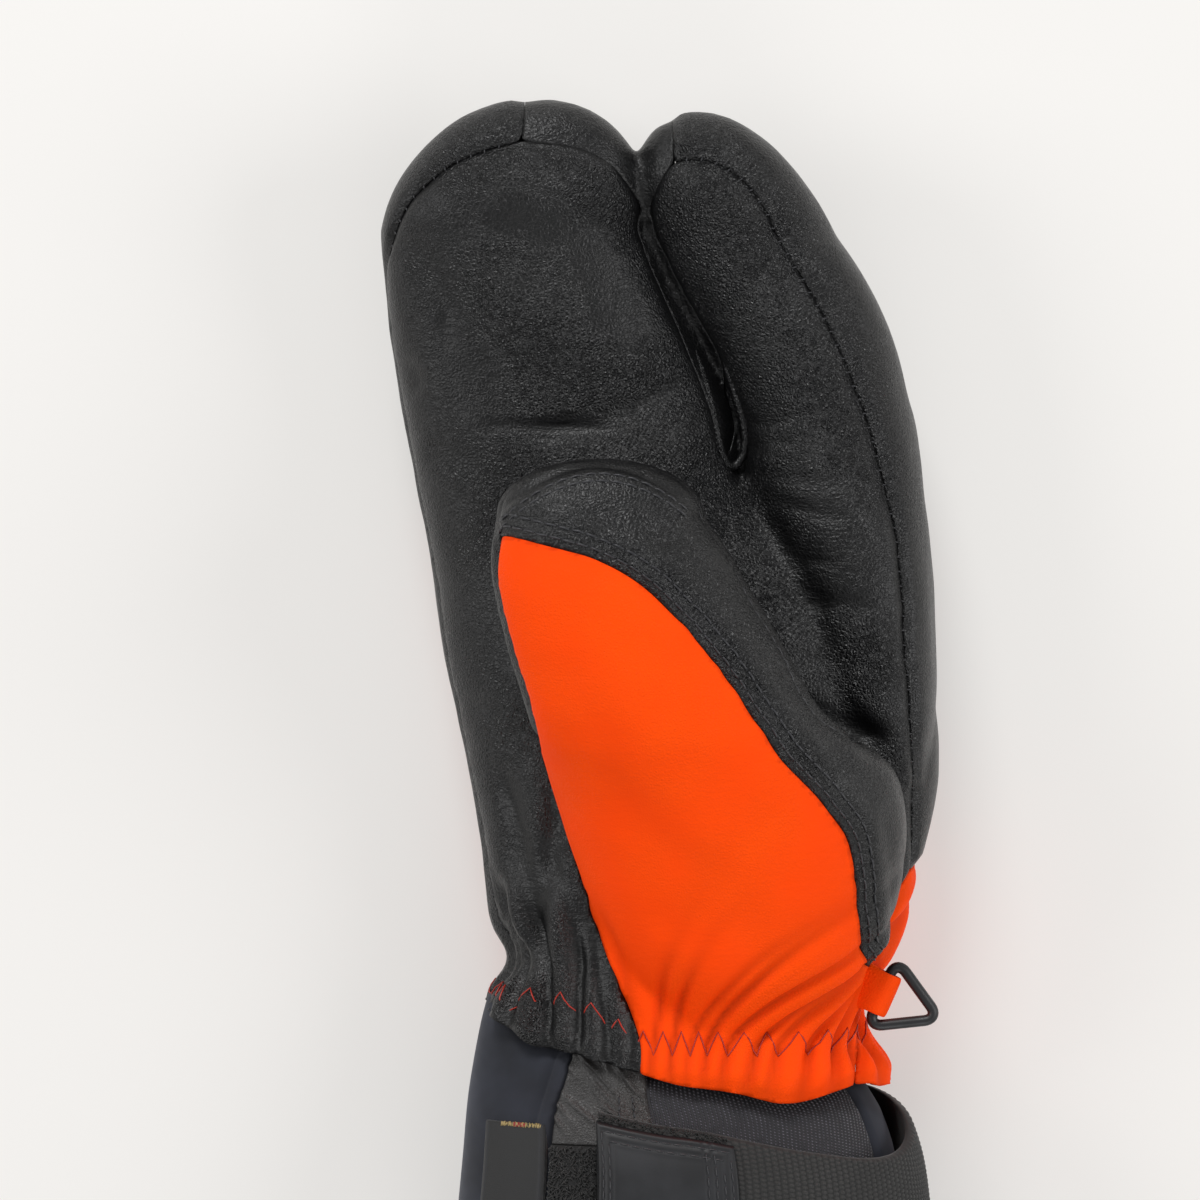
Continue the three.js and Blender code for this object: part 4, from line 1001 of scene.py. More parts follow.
def rib_material(ground, float_yarn_and_sheen):
    """Elastic weave with shiny floats: slanted rows of light dots on a dark ground, which paint both the
    floats' paler yarn and their sheen.
    """
    material, tree = new_material("ribbed_elastic_weave")
    flat = add(tree, "UVMap", uv_map="cloth").outputs[0]
    slanted = add(tree, "Mapping", {"Vector": flat, "Rotation": (0.0, 0.0, 0.32)}, vector_type="POINT")
    split = add(tree, "SeparateXYZ", [slanted]).outputs
    across = add(tree, "Math", [split["X"], 2 * math.pi / (0.88 * MM)], operation="MULTIPLY")
    along = add(tree, "Math", [split["Y"], 2 * math.pi / (0.68 * MM)], operation="MULTIPLY")
    ribs = add(tree, "MapRange", [add(tree, "Math", [across], operation="SINE"), -0.4, 1.0, 0.0, 1.0])
    picks = add(tree, "MapRange", [add(tree, "Math", [along], operation="SINE"), -0.2, 1.0, 0.0, 1.0])
    dots = add(tree, "Math", [ribs, picks], operation="MULTIPLY")
    grit = add(tree, "TexNoise", {"Vector": flat, "Scale": 1 / (2.2 * MM), "Detail": 3.0})
    shown = add(tree, "MapRange", [grit, 0.35, 0.65, 0.25, 1.0])
    tight = add(tree, "Math", [dots, 1.6], operation="POWER")
    # The light dots: the floats' paler yarn with a painted sheen on it, showing in patches
    shine = add(tree, "Math", [tight, shown], operation="MULTIPLY")
    tone = add(tree, "Mix", {0: shine, MIX_FIRST: ground, MIX_SECOND: float_yarn_and_sheen}, data_type="RGBA")
    height = add(tree, "Math", [ribs, 0.5, dots], operation="MULTIPLY_ADD")
    return finished(material, tree, {
        "Base Color": tone.outputs[MIX_RESULT],
        "Roughness": 0.62,
        "Normal": add(tree, "Bump", {"Height": height, "Strength": 0.7, "Distance": 0.3 * MM}),
        "Sheen Weight": 0.2,
        "Sheen Roughness": 0.4,
    })


def yarn_material(name, top, roughness=0.78):
    """Spun synthetic yarn: matt, with painted shade in the gaps between the threads and the full colour
    on their tops. The piece's own height picks how much shade is painted, and fibres 0.25 mm apart fleck
    it."""
    material, tree = new_material(name)
    place = add(tree, "TexCoord").outputs["Object"]
    height = add(tree, "Attribute", attribute_name="height").outputs["Fac"]
    fleck = add(tree, "TexNoise", {"Vector": place, "Scale": 1 / (0.25 * MM), "Detail": 3.0})
    fade = add(tree, "TexNoise", {"Vector": place, "Scale": 1 / (9 * MM), "Detail": 2.0})
    flecked = add(tree, "MapRange", [fleck, 0.35, 0.62, 0.35, 1.15])
    faded = add(tree, "MapRange", [fade, 0.3, 0.7, 0.75, 1.1])
    light = add(tree, "Math", [height, flecked], operation="MULTIPLY")
    light = add(tree, "Math", [light, faded], operation="MULTIPLY")
    # Painted shade: low parts of the piece go to a near-black copy of the yarn's colour
    tone = add(tree, "Mix", {0: light, MIX_FIRST: shade(top, 0.05), MIX_SECOND: top}, data_type="RGBA")
    return finished(material, tree, {
        "Base Color": tone.outputs[MIX_RESULT],
        "Roughness": roughness,
        "Normal": add(tree, "Bump", {"Height": fleck, "Strength": 0.5, "Distance": 0.12 * MM}),
        "Sheen Weight": 0.15,
        "Sheen Roughness": 0.5,
    })


def coated_material(coat):
    """Polyurethane film on a knit backing: nearly smooth, satin, with a faint fine grain."""
    material, tree = new_material("polyurethane_coated_tab")
    place = add(tree, "TexCoord").outputs["Object"]
    height = add(tree, "Attribute", attribute_name="height").outputs["Fac"]
    grain = add(tree, "TexNoise", {"Vector": place, "Scale": 1 / (0.5 * MM), "Detail": 3.0})
    wear = add(tree, "TexNoise", {"Vector": place, "Scale": 1 / (11 * MM), "Detail": 4.0})
    worn = add(tree, "MapRange", [wear, 0.4, 0.7, 0.0, 1.0])
    tone = add(tree, "Mix", {0: worn, MIX_FIRST: coat, MIX_SECOND: shade(coat, 1.9)}, data_type="RGBA")
    sunk = add(tree, "Math", [height, 0.7], operation="MULTIPLY")
    tone = {0: sunk, MIX_FIRST: tone.outputs[MIX_RESULT], MIX_SECOND: shade(coat, 0.6)}
    return finished(material, tree, {
        "Base Color": add(tree, "Mix", tone, data_type="RGBA").outputs[MIX_RESULT],
        "Roughness": add(tree, "MapRange", [wear, 0.35, 0.7, 0.5, 0.62]),
        "Normal": add(tree, "Bump", {"Height": grain, "Strength": 0.16, "Distance": 0.1 * MM}),
        "IOR": 1.47,
    })


def moulded_material(nylon):
    """Glass-filled nylon, moulded with a fine matt texture that is rubbed smoother on its edges."""
    material, tree = new_material("moulded_nylon")
    place = add(tree, "TexCoord").outputs["Object"]
    pits = add(tree, "TexNoise", {"Vector": place, "Scale": 1 / (0.35 * MM), "Detail": 3.0})
    rub = add(tree, "TexNoise", {"Vector": place, "Scale": 1 / (5 * MM), "Detail": 4.0})
    rubbed = add(tree, "MapRange", [rub, 0.45, 0.7, 0.0, 0.7])
    tone = add(tree, "Mix", {0: rubbed, MIX_FIRST: nylon, MIX_SECOND: shade(nylon, 2.4)}, data_type="RGBA")
    return finished(material, tree, {
        "Base Color": tone.outputs[MIX_RESULT],
        "Roughness": add(tree, "MapRange", [rub, 0.35, 0.7, 0.5, 0.36]),
        "Normal": add(tree, "Bump", {"Height": pits, "Strength": 0.3, "Distance": 0.06 * MM}),
        "IOR": 1.53,
    })


def thread_material(name, colour):
    """Bonded nylon sewing thread: a smooth, slightly glossy twist."""
    material, tree = new_material(name)
    place = add(tree, "TexCoord").outputs["Object"]
    twist = add(tree, "TexNoise", {"Vector": place, "Scale": 1 / (0.3 * MM), "Detail": 2.0})
    normal = add(tree, "Bump", {"Height": twist, "Strength": 0.3, "Distance": 0.05 * MM})
    return finished(material, tree, {"Base Color": colour, "Roughness": 0.42, "Normal": normal})


# The cuff. Its lengths are millimetres from here on
CUFF_LENGTH = 75
CUFF_WIDTH = 105
CUFF_DEPTH = 62
CUFF_WALL = 2.6
CUFF_POWERS = (2.4, 2.7)  # how square its sections are on the palm side and on the back
# Its sections: at along its length, left and right of its width, low and high of its depth
CUFF_ROWS = (
    (-1.0, -0.445, 0.53, -0.02, 1.0),
    (-0.75, -0.438, 0.52, -0.008, 0.99),
    (-0.5, -0.422, 0.505, 0.01, 0.97),
    (-0.35, -0.412, 0.49, 0.035, 0.94),
    (-0.23, -0.405, 0.462, 0.075, 0.89),
    (-0.15, -0.398, 0.43, 0.11, 0.85),
    (-0.015, -0.381, 0.4, 0.15, 0.81),
    (0.06, -0.369, 0.39, 0.16, 0.8),
    (0.173, -0.345, 0.385, 0.16, 0.8),
)
# The wrap's free edge, as shares along the cuff and across it
FLAP_ROWS = ((-1.0, -0.236), (-0.28, -0.227), (-0.03, -0.178), (0.173, -0.165))
# The strap's upper edge: degrees round the cuff, and its share along it
STRAP_ROWS = (
    (-62, -0.175),
    (-30, -0.175),
    (0, -0.215),
    (32, -0.325),
    (60, -0.305),
    (88, -0.24),
    (116, -0.168),
)
STRAP_START = -62  # degrees round the cuff, where the strap leaves the thumb side
STRAP_WIDTH = 30
STRAP_LIFT = 0.9  # off the cuff where it lies on the palm side
STRAP_BULGE = 4.2  # more of that on the thumb side
TUCK = 13  # of the cuff inside the leather
HEM_TUCK = 5.5  # how far the cuff is drawn in there
GUSSET_END = 27  # degrees round the cuff
GUSSET_DROP = 0.6  # how far it lies below the wrap's face
SEAM_GAP = 0.3
EDGE_GAP = 0.4  # degrees between two pieces that meet
GRID_CELLS = 4  # of a patch of cloth, to one float of the webbing
WEBBING_COLUMN = 1.3  # real ones are finer, and these show
WEBBING_FLOAT = 1.0
WEBBING_RISE = 0.55
TAB_INSET = 1.6  # from the strap's edges
TAB_WALL = 1.5
TAB_CELL = 0.3
TAB_STITCH_ROWS = (1.5, 3.3)  # from its edges
TAB_SEAM_ROWS = (5.1, 6.9)  # from its edge on the thumb side
PILE_LOOPS = 950
CURL_POINTS = 7
CURL_SIDES = 4
PLACKET_BAR_CELLS = (7, 14)  # of the placket's grid, under the two rows of its bar
PLACKET_BAR_ROWS = slice(44, 66)
PLACKET_WRINKLES = 34
PATCH_PROBES = 60  # along a patch's top, to measure it
LABEL_WIDTH = 14
LABEL_LENGTH = 34
# The label's cut yarns: name, colour, seed, how many and how far over the label's width
LABEL_YARNS = (("gold", "#a08c5c", 21, 38, 0.31), ("red", "#8f302a", 22, 12, 0.09))
LABEL_YARN_MIDDLE = 0.36
LABEL_YARN = 0.13
# Places across the cuff as shares of the hand's width, and along it as shares of its length
HAND = HAND_WIDTH / MM
TAB_SIDES = (-0.102, 0.128)
PLACKET_SIDE = -0.03
LABEL_SIDE = -0.205
PLACKET_TOP = -0.03
PATCH_TOP = -0.29
LABEL_TOP = -0.235


def cuff_limits(at):
    """Left, right, low and high of the cuff's section at a place, in millimetres."""
    sides = [column(CUFF_ROWS, k, at / CUFF_LENGTH) * CUFF_WIDTH for k in (1, 2)]
    return sides + [column(CUFF_ROWS, k, at / CUFF_LENGTH) * CUFF_DEPTH for k in (3, 4)]


def cuff_points(turn, at, out):
    """Points of the cuff's surface: turn in degrees round it, at along it and out from it."""
    left, right, low, high = cuff_limits(at)
    angle = np.radians(turn)
    cos, sin = np.cos(angle), np.sin(angle)
    power = 2 / np.where(sin > 0, *CUFF_POWERS)
    x = (left + right) / 2 + ((right - left) / 2 + out) * np.sign(cos) * np.abs(cos) ** power
    z = (low + high) / 2 + ((high - low) / 2 + out) * np.sign(sin) * np.abs(sin) ** power
    return np.stack([x * MM + WRIST_X, at * MM + WRIST_Y, z * MM], axis=-1)


def angle_above(x, at):
    """The angle on the palm side of the cuff at which its surface lies above a place x."""
    left, right, _, _ = cuff_limits(at)
    share = np.clip((x - (left + right) / 2) / ((right - left) / 2), -1, 1)
    return np.degrees(np.arccos(np.sign(share) * np.abs(share) ** 1.2))


def flap_angle(at):
    """Where the foam wrap's free edge runs, in degrees round the cuff."""
    return angle_above(column(FLAP_ROWS, 1, at / CUFF_LENGTH) * CUFF_WIDTH, at)


def strap_top(turn):
    """Where the strap's upper edge runs along the cuff."""
    return column(STRAP_ROWS, 1, turn) * CUFF_LENGTH


def strap_low(turn):
    """Where the strap's lower edge runs along the cuff."""
    return strap_top(turn) - STRAP_WIDTH


def strap_stand(turn):
    """How far the strap's inner face stands off the cuff. It bulges on the thumb side."""
    lifted = ramp(turn, -55, -10)
    return SEAM_GAP * (1 - lifted) + STRAP_LIFT * lifted + STRAP_BULGE * bell(turn - 22, 32)


TAB_START = angle_above(TAB_SIDES[0] * HAND, -0.35 * CUFF_LENGTH)
TAB_END = angle_above(TAB_SIDES[1] * HAND, -0.4 * CUFF_LENGTH)


def cells_of(index):
    """The four-cornered cells of a grid of point numbers."""
    a, b, c, d = index[:-1, :-1], index[:-1, 1:], index[1:, 1:], index[1:, :-1]
    return np.stack([a, b, c, d], axis=-1).reshape(-1, 4)


def side_walls(front, back, plain_back):
    """The faces between the rims of two grids. A plain back has only its first and last row."""
    rims = [(front[0], back[0]), (front[-1, ::-1], back[-1, ::-1])]
    if not plain_back:
        rims += [(front[:, -1], back[:, -1]), (front[::-1, 0], back[::-1, 0])]
    walls = [np.column_stack([f[1:], f[:-1], b[:-1], b[1:]]).tolist() for f, b in rims]
    faces = [face for wall in walls for face in wall]
    if plain_back:
        faces.append([*front[::-1, -1].tolist(), int(back[0, -1]), int(back[-1, -1])])
        faces.append([*front[:, 0].tolist(), int(back[-1, 0]), int(back[0, 0])])
    return faces


class Cloth(NamedTuple):
    """Where each point of a patch lies on its cloth, and the cloth's own size, in millimetres."""

    across: np.ndarray
    down: np.ndarray
    edge: np.ndarray
    width: np.ndarray
    height: np.ndarray


def value_at(value, place):
    """A number, or what a function gives at a place."""
    return value(place) if callable(value) else value + 0 * place


def patch_counts(turns, levels, outer, step):
    """How many points a patch has across and down, for cells of about a step. The cells come in
    groups of GRID_CELLS."""
    probe = np.linspace(0, 1, PATCH_PROBES)
    start, end = (value_at(turn, probe * 0) for turn in turns)
    turn = start * (1 - probe) + end * probe
    high, low = (value_at(level, turn) for level in levels)
    top = cuff_points(turn, high, value_at(outer, turn)) / MM
    spans = (np.linalg.norm(np.diff(top, axis=0), axis=1).sum(), np.max(high - low))
    return [
        GRID_CELLS * max(1, round(span / (GRID_CELLS * cell))) + 1 for span, cell in zip(spans, step)]


def cloth_of(base):
    """The cloth that a grid of points makes when it is laid flat."""
    across = np.zeros(base.shape[:2])
    down = np.zeros(base.shape[:2])
    across[:, 1:] = np.cumsum(np.linalg.norm(np.diff(base, axis=1), axis=2), axis=1)
    down[1:] = np.cumsum(np.linalg.norm(np.diff(base, axis=0), axis=2), axis=0)
    width, height = across[:, -1:], down[-1:]
    edge = np.minimum(np.minimum(across, width - across), np.minimum(down, height - down))
    return Cloth(across, down, edge, width, height)


def patch_object(name, front, back, flat, height):
    """The mesh between a patch's outer and inner grids, with its UV map in metres and its height. A
    plain back has two rows."""
    plain_back = len(back) == 2
    front_index = np.arange(height.size).reshape(height.shape)
    back_index = height.size + np.arange(back[..., 0].size).reshape(back.shape[:2])
    faces = cells_of(front_index).tolist() + cells_of(back_index)[:, ::-1].tolist()
    faces += side_walls(front_index, back_index, plain_back)
    obj = smooth_object(name, np.concatenate([front.reshape(-1, 3), back.reshape(-1, 3)]), faces)
    flat_back = flat[[0, -1]] if plain_back else flat
    layer = np.concatenate([flat.reshape(-1, 2), flat_back.reshape(-1, 2)])
    loops = np.empty(len(obj.data.loops), np.int64)
    obj.data.loops.foreach_get("vertex_index", loops)
    obj.data.uv_layers.new(name="cloth").data.foreach_set("uv", layer[loops].ravel())
    raised = np.clip(height / max(height.max(), 1e-9), 0, 1)
    give(obj, "height", np.concatenate([raised.ravel(), np.zeros(back_index.size)]))
    return obj


def cuff_patch(name, turns, levels, outer, inner, step, corner, relief=None, tucked=False,
               plain_back=False):
    """A closed piece of wall that follows the cuff between two angles and two levels, and the grid
    of its outer face. Its edges are rounded over corner, and relief adds to its outer face. All
    lengths are millimetres."""
    across, down = np.meshgrid(
        *(np.linspace(0, 1, count) for count in patch_counts(turns, levels, outer, step)))
    turn = value_at(turns[0], down) * (1 - across) + value_at(turns[1], down) * across
    at = value_at(levels[0], turn) * (1 - down) + value_at(levels[1], turn) * down
    outer, inner = value_at(outer, turn), value_at(inner, turn)
    base = cuff_points(turn, at, outer) / MM
    cloth = cloth_of(base)
    inside = np.clip(1 - cloth.edge / corner, 0, 1)
    drop = corner * (1 - np.sqrt(1 - inside**2))
    height = relief(cloth) if relief else np.zeros(across.shape)
    wall = outer - inner
    out = outer - np.minimum(drop, 0.6 * wall) + height
    if tucked:
        under_hem = at - hem_at((base[..., 0] * MM - WRIST_X) / MM)
        out = out - HEM_TUCK * ramp(under_hem, -2.5, 3)
    front = cuff_points(turn, at, out)
    front[..., 2] = np.maximum(front[..., 2], 0)
    back = cuff_points(turn, at, np.minimum(inner, out - 0.5 * wall))
    back[..., 2] = np.maximum(back[..., 2], np.minimum(front[..., 2], CUFF_WALL * MM))
    flat = np.dstack([cloth.across, cloth.down]) * MM
    return patch_object(name, front, back[[0, -1]] if plain_back else back, flat, height), front


def give(obj, name, values):
    """Writes one number for each point of a piece, for its material to read."""
    obj.data.attributes.new(name, "FLOAT", "POINT").data.foreach_set("value", values)


def attach_leather_values(obj, seam=9 * MM):
    """Tells the leather's material that a piece has no crease, and how far it is from a seam."""
    count = len(obj.data.vertices)
    give(obj, "seam", np.full(count, seam))
    give(obj, "crease", np.zeros(count))


def flap_relief(cloth):
    """The foam flap's turned edge: a ridge and the groove of its stitching, and a sewn hem."""
    hem = 0.35 * bell(cloth.height - cloth.down - 6, 0.6)
    return 0.9 * bell(cloth.across - 2.2, 1.3) - 0.7 * bell(cloth.across - 4.6, 0.7) - hem


def placket_relief(cloth):
    """Thin leather drawn into slanting wrinkles."""
    total = np.zeros(cloth.across.shape)
    rng = np.random.default_rng(11)
    for _ in range(PLACKET_WRINKLES):
        u, v = cloth.across - rng.uniform(0, 26), cloth.down - rng.uniform(0, 20)
        angle = rng.normal(1.05, 0.3)
        along = u * math.cos(angle) - v * math.sin(angle)
        across = u * math.sin(angle) + v * math.cos(angle)
        deep = rng.uniform(0.2, 0.6)
        total += deep * bell(along, rng.uniform(2.5, 6)) * bell(across, rng.uniform(0.35, 0.75))
    return np.minimum(total, 1.1)


def webbing_relief(cloth):
    """Strap webbing: columns of rounded floats, every other column half a float further on. Each
    float takes the same number of the grid's cells, so that all come out alike."""
    rows, columns = cloth.across.shape
    along_strap = np.arange(columns)[None, :] / GRID_CELLS
    number = np.floor(along_strap)
    up_strap = np.arange(rows)[:, None] / GRID_CELLS + 0.5 * (number % 2)
    across = 2 * (along_strap - number) - 1
    along = 2 * (up_strap - np.floor(up_strap)) - 1
    floats = np.sqrt(np.maximum(1 - 0.92 * across**2, 0)) * (1 - 0.6 * along**2)
    return WEBBING_RISE * floats * ramp(cloth.edge, 0, 0.8)


def tab_relief(cloth):
    """A turned and stitched border: two sunk lines, and a second seam near the thumb side."""
    lines = sum(0.16 * bell(cloth.edge - row, 0.4) for row in TAB_STITCH_ROWS)
    seam = sum(0.16 * bell(cloth.across - row, 0.4) for row in TAB_SEAM_ROWS)
    return 0.12 * (1 - ramp(cloth.edge, 3.2, 5)) - lines - seam


def label_relief(cloth):
    """Woven satin label: fine ribs with a heavier woven border."""
    ribs = 0.03 * np.sin(2 * math.pi * cloth.down / 0.45)
    from_side = np.minimum(cloth.across, cloth.width - cloth.across)
    return ribs + 0.12 * bell(from_side - 1.0, 0.4)


def border_path(grid, inset):
    """A path round a grid of points, a number of cells inside its rim."""
    near, far = inset, -1 - inset
    middle = slice(inset, far)
    there = [grid[near, middle], grid[middle, far]]
    return np.vstack([*there, grid[far, middle][::-1], grid[middle, near][::-1]])


def grid_tree(grid):
    """A search tree over the cells of a grid of points."""
    index = np.arange(grid.shape[0] * grid.shape[1]).reshape(grid.shape[:2])
    return BVHTree.FromPolygons(grid.reshape(-1, 3).tolist(), cells_of(index).tolist())


def add_cuff(sizes, colours):
    """The foam wrap and the ribbed gusset, whose tops are tucked under the leather's hem."""
    wall = sizes.foam_wall / MM

    def flap_edge(down):
        return flap_angle(TUCK * (1 - down) - CUFF_LENGTH * down)

    wrap, _ = cuff_patch(
        "foam_wrap", (flap_edge, 360 + GUSSET_END - EDGE_GAP),
        (TUCK, -CUFF_LENGTH), 0.0, -wall, (0.9, 0.9), 1.4, flap_relief, tucked=True)
    wrap.data.materials.append(jersey_material(list(colours.jersey)))
    settle(wrap, "mitt", "foam_knit", "cuff_wrap")
    gusset, _ = cuff_patch(
        "ribbed_gusset", (GUSSET_END, lambda down: flap_edge(down) - EDGE_GAP),
        (TUCK, -CUFF_LENGTH), -GUSSET_DROP, -wall, (0.9, 0.9), 0.5, tucked=True)
    gusset.data.materials.append(rib_material(list(colours.elastic), list(colours.elastic_float_and_sheen)))
    settle(gusset, "mitt", "stretch_weave", "cuff_gusset")


def add_placket(colours):
    """The thin leather behind the closure, and the stitched bar that ends its seam."""
    top, low = PLACKET_TOP * CUFF_LENGTH, PATCH_TOP * CUFF_LENGTH

    def flap_side(down):
        return flap_angle(top * (1 - down) + low * down) - EDGE_GAP

    placket, grid = cuff_patch(
        "thin_leather_placket", (angle_above(PLACKET_SIDE * HAND, top), flap_side),
        (top + 3, low), 0.3, -1.3, (0.28, 0.28), 0.5, placket_relief)
    attach_leather_values(placket)
    grey = list(colours.grey_leather)
    # The third colour is the dark of seam joints and the painted shade of creases
    placket.data.materials.append(leather_material(
        "thin_goat_leather_grey", grey, shade(grey, 2.6), shade(grey, 0.3),
        grain=0.6, roughness=0.38, relief=0.6, shine=0.55))
    settle(placket, "mitt", "grey_leather", "cuff_placket")
    tree = grid_tree(grid)
    parts = []
    for cell in PLACKET_BAR_CELLS:
        parts += stitches(
            grid[PLACKET_BAR_ROWS, cell], tree, 1.1 * MM, 0.5 * MM, 0.2 * MM, 0.08 * MM)
    add_thread("placket_bar_stitches", parts, seam_thread(colours), "grey_leather")


def curls(places, normals, seed, radius, wire):
    """Small loops of yarn that stand on a surface."""
    rng = np.random.default_rng(seed)
    parts = []
    for place, normal in zip(places, normals):
        side = np.cross(normal, rng.normal(size=3))
        side /= np.linalg.norm(side)
        lean = normal + 0.7 * np.cross(normal, side) * rng.normal() + 0.3 * side * rng.normal()
        lean /= np.linalg.norm(lean)
        r = radius * rng.uniform(0.7, 1.3)
        angle = np.linspace(-0.6, math.pi + 0.6, CURL_POINTS)[:, None]
        path = place + r * (np.cos(angle) * side + (0.55 + np.sin(angle)) * lean)
        parts.append(tube_along(path, wire, CURL_SIDES))
    return parts


def standing(turn, at, out):
    """Places on the cuff's surface and the directions that stand straight up from it."""
    places = cuff_points(turn, at, out)
    normals = cuff_points(turn, at, out + 1) - places
    return places, normals / np.linalg.norm(normals, axis=1, keepdims=True)


def pile_material(colours):
    """The loop patch's yarn, made once."""
    name = "looped_nylon_pile"
    return bpy.data.materials.get(name) or yarn_material(name, list(colours.pile), 0.7)


def add_strap(sizes, colours):
    """The webbing strap, the coated tab on its end and the tab's stitching."""
    wall = sizes.strap_wall / MM
    strap, _ = cuff_patch(
        "webbing_strap", (STRAP_START, TAB_START), (strap_top, strap_low),
        lambda turn: strap_stand(turn) + wall - 0.3, strap_stand,
        (WEBBING_COLUMN / GRID_CELLS, WEBBING_FLOAT / GRID_CELLS), 0.7, webbing_relief, plain_back=True)
    strap.data.materials.append(yarn_material("nylon_webbing", list(colours.webbing)))
    settle(strap, "mitt", "webbing", "closure_strap")
    tab, grid = cuff_patch(
        "coated_tab", (TAB_END, TAB_START),
        (lambda turn: strap_top(turn) - TAB_INSET, lambda turn: strap_low(turn) + TAB_INSET),
        lambda turn: strap_stand(turn) + wall + TAB_WALL, lambda turn: strap_stand(turn) + wall - 0.4,
        (TAB_CELL, TAB_CELL), 0.7, tab_relief, plain_back=True)
    tab.data.materials.append(coated_material(list(colours.tab)))
    settle(tab, "mitt", "smooth_tab", "strap_tab")
    tree = grid_tree(grid)
    lines = [border_path(grid, round(row / TAB_CELL)) for row in TAB_STITCH_ROWS]
    lines += [grid[8:-8, round(row / TAB_CELL)] for row in TAB_SEAM_ROWS]
    parts = []
    for line in lines:
        parts += stitches(line, tree, 1.7 * MM, 0.8 * MM, 0.17 * MM, 0.02 * MM)
    add_thread("tab_stitches", parts, seam_thread(colours), "smooth_tab")
    rng = np.random.default_rng(5)
    turn = np.linspace(TAB_END + 1, TAB_START - 0.5, 260)
    turn = turn + rng.uniform(-0.4, 0.4, len(turn))
    at = strap_top(turn) - rng.uniform(0.1, 1.5, len(turn))
    edge = standing(turn, at, strap_stand(turn) + wall - 0.1)
    points, faces = joined(curls(*edge, 8, 0.34 * MM, 0.1 * MM))
    fuzz = smooth_object("selvedge_fuzz", points, faces)
    give(fuzz, "height", rng.uniform(0.2, 1.0, len(points)))
    fuzz.data.materials.append(pile_material(colours))
    settle(fuzz, "mitt", "loop_pile")


def add_loop_patch(colours):
    """The patch of hook-and-loop pile: a ground cloth with small loops of yarn that stand on it."""
    high, low = PATCH_TOP * CUFF_LENGTH, strap_low(TAB_START)
    start = TAB_START + 1.5

    def flap_side(down):
        return flap_angle(high * (1 - down) + low * down) - EDGE_GAP

    patch, _ = cuff_patch("loop_ground", (start, flap_side), (high, low), 0.5, -1.3, (0.7, 0.7), 0.4)
    rng = np.random.default_rng(15)
    down = rng.uniform(0.02, 0.98, PILE_LOOPS)
    across = rng.uniform(0.04, 0.96, PILE_LOOPS)
    turn = start * (1 - across) + flap_side(down) * across
    places, normals = standing(turn, high * (1 - down) + low * down, 0.4)
    points, faces = joined(curls(places, normals, 6, 0.42 * MM, 0.11 * MM))
    loops = smooth_object("loop_pile_curls", points, faces)
    each = CURL_POINTS * CURL_SIDES
    raised = (points - np.repeat(places, each, axis=0)) * np.repeat(normals, each, axis=0)
    # Height above the ground cloth, from which the yarn material paints shade at the foot of each loop
    give(loops, "height", np.clip(raised.sum(axis=1) / (0.9 * MM), 0, 1))
    for piece in (patch, loops):
        piece.data.materials.append(pile_material(colours))
        settle(piece, "mitt", "loop_pile", "loop_patch")


def add_label(colours):
    """A bare woven label, with the cut ends of its gold and red yarns along its top."""
    top = LABEL_TOP * CUFF_LENGTH
    start = angle_above(LABEL_SIDE * HAND, top)
    end = start + math.degrees(LABEL_WIDTH / (CUFF_DEPTH / 2))
    label, _ = cuff_patch(
        "woven_label", (start, end), (top, top - LABEL_LENGTH), 0.9, -0.3, (0.2, 0.2), 0.3, label_relief)
    label.data.materials.append(yarn_material("woven_polyester_label", list(colours.label), 0.6))
    settle(label, "mitt", "label_weave", "cuff_label")
    for name, hex_colour, seed, count, spread in LABEL_YARNS:
        rng = np.random.default_rng(seed)
        row = np.linspace(-1, 1, count) + rng.uniform(-0.03, 0.03, count)
        share = LABEL_YARN_MIDDLE + spread * row
        parts = []
        for turn in start * (1 - share) + end * share:
            foot = cuff_points(turn, top - rng.uniform(0.5, 0.8), 0.9)
            lean = turn + rng.uniform(-0.3, 0.3)
            tip = cuff_points(lean, top + rng.uniform(0, 0.25), rng.uniform(0.7, 0.95))
            bent = (foot + tip) / 2 + [0, 0, 0.12 * MM]
            parts.append(tube_along([foot, bent, tip], LABEL_YARN * MM, 5))
        yarn = thread_material("polyester_yarn_" + name, linear(hex_colour))
        add_thread("cut_yarn_ends_" + name, parts, yarn, "label_weave")


def add_ring(sizes, colours):
    """A moulded rounded triangle. A three-sided ring of edges gets rounded corners and a round
    section, and is turned into its place on the bar's axis."""
    side = sizes.ring_side - sizes.ring_wire * math.sqrt(3)
    radius = side / math.sqrt(3)
    towards_tip = Vector((math.cos(RING_TURN), math.sin(RING_TURN), 0))
    bpy.ops.object.select_all(action="DESELECT")
    bpy.ops.mesh.primitive_circle_add(
        vertices=3, radius=radius, location=RING_CENTRE + towards_tip * radius / 2,
        rotation=(0, 0, RING_TURN - math.pi / 2))
    ring = bpy.context.object
    ring.name = "moulded_triangle_ring"
    bpy.ops.object.mode_set(mode="EDIT")
    bpy.ops.mesh.select_all(action="SELECT")
    bpy.ops.mesh.bevel(offset=RING_CORNER * MM, segments=9, affect="VERTICES")
    bpy.ops.object.mode_set(mode="OBJECT")
    bpy.ops.object.convert(target="CURVE")
    ring.data.bevel_depth = sizes.ring_wire / 2
    ring.data.bevel_resolution = 5
    bpy.ops.object.convert(target="MESH")
    bpy.ops.object.transform_apply(location=True, rotation=True, scale=True)
    bpy.ops.object.shade_smooth()
    ring.data.materials.clear()
    ring.data.materials.append(moulded_material(list(colours.ring)))
    settle(ring, "ring", "coated_wire", "triangle_ring")


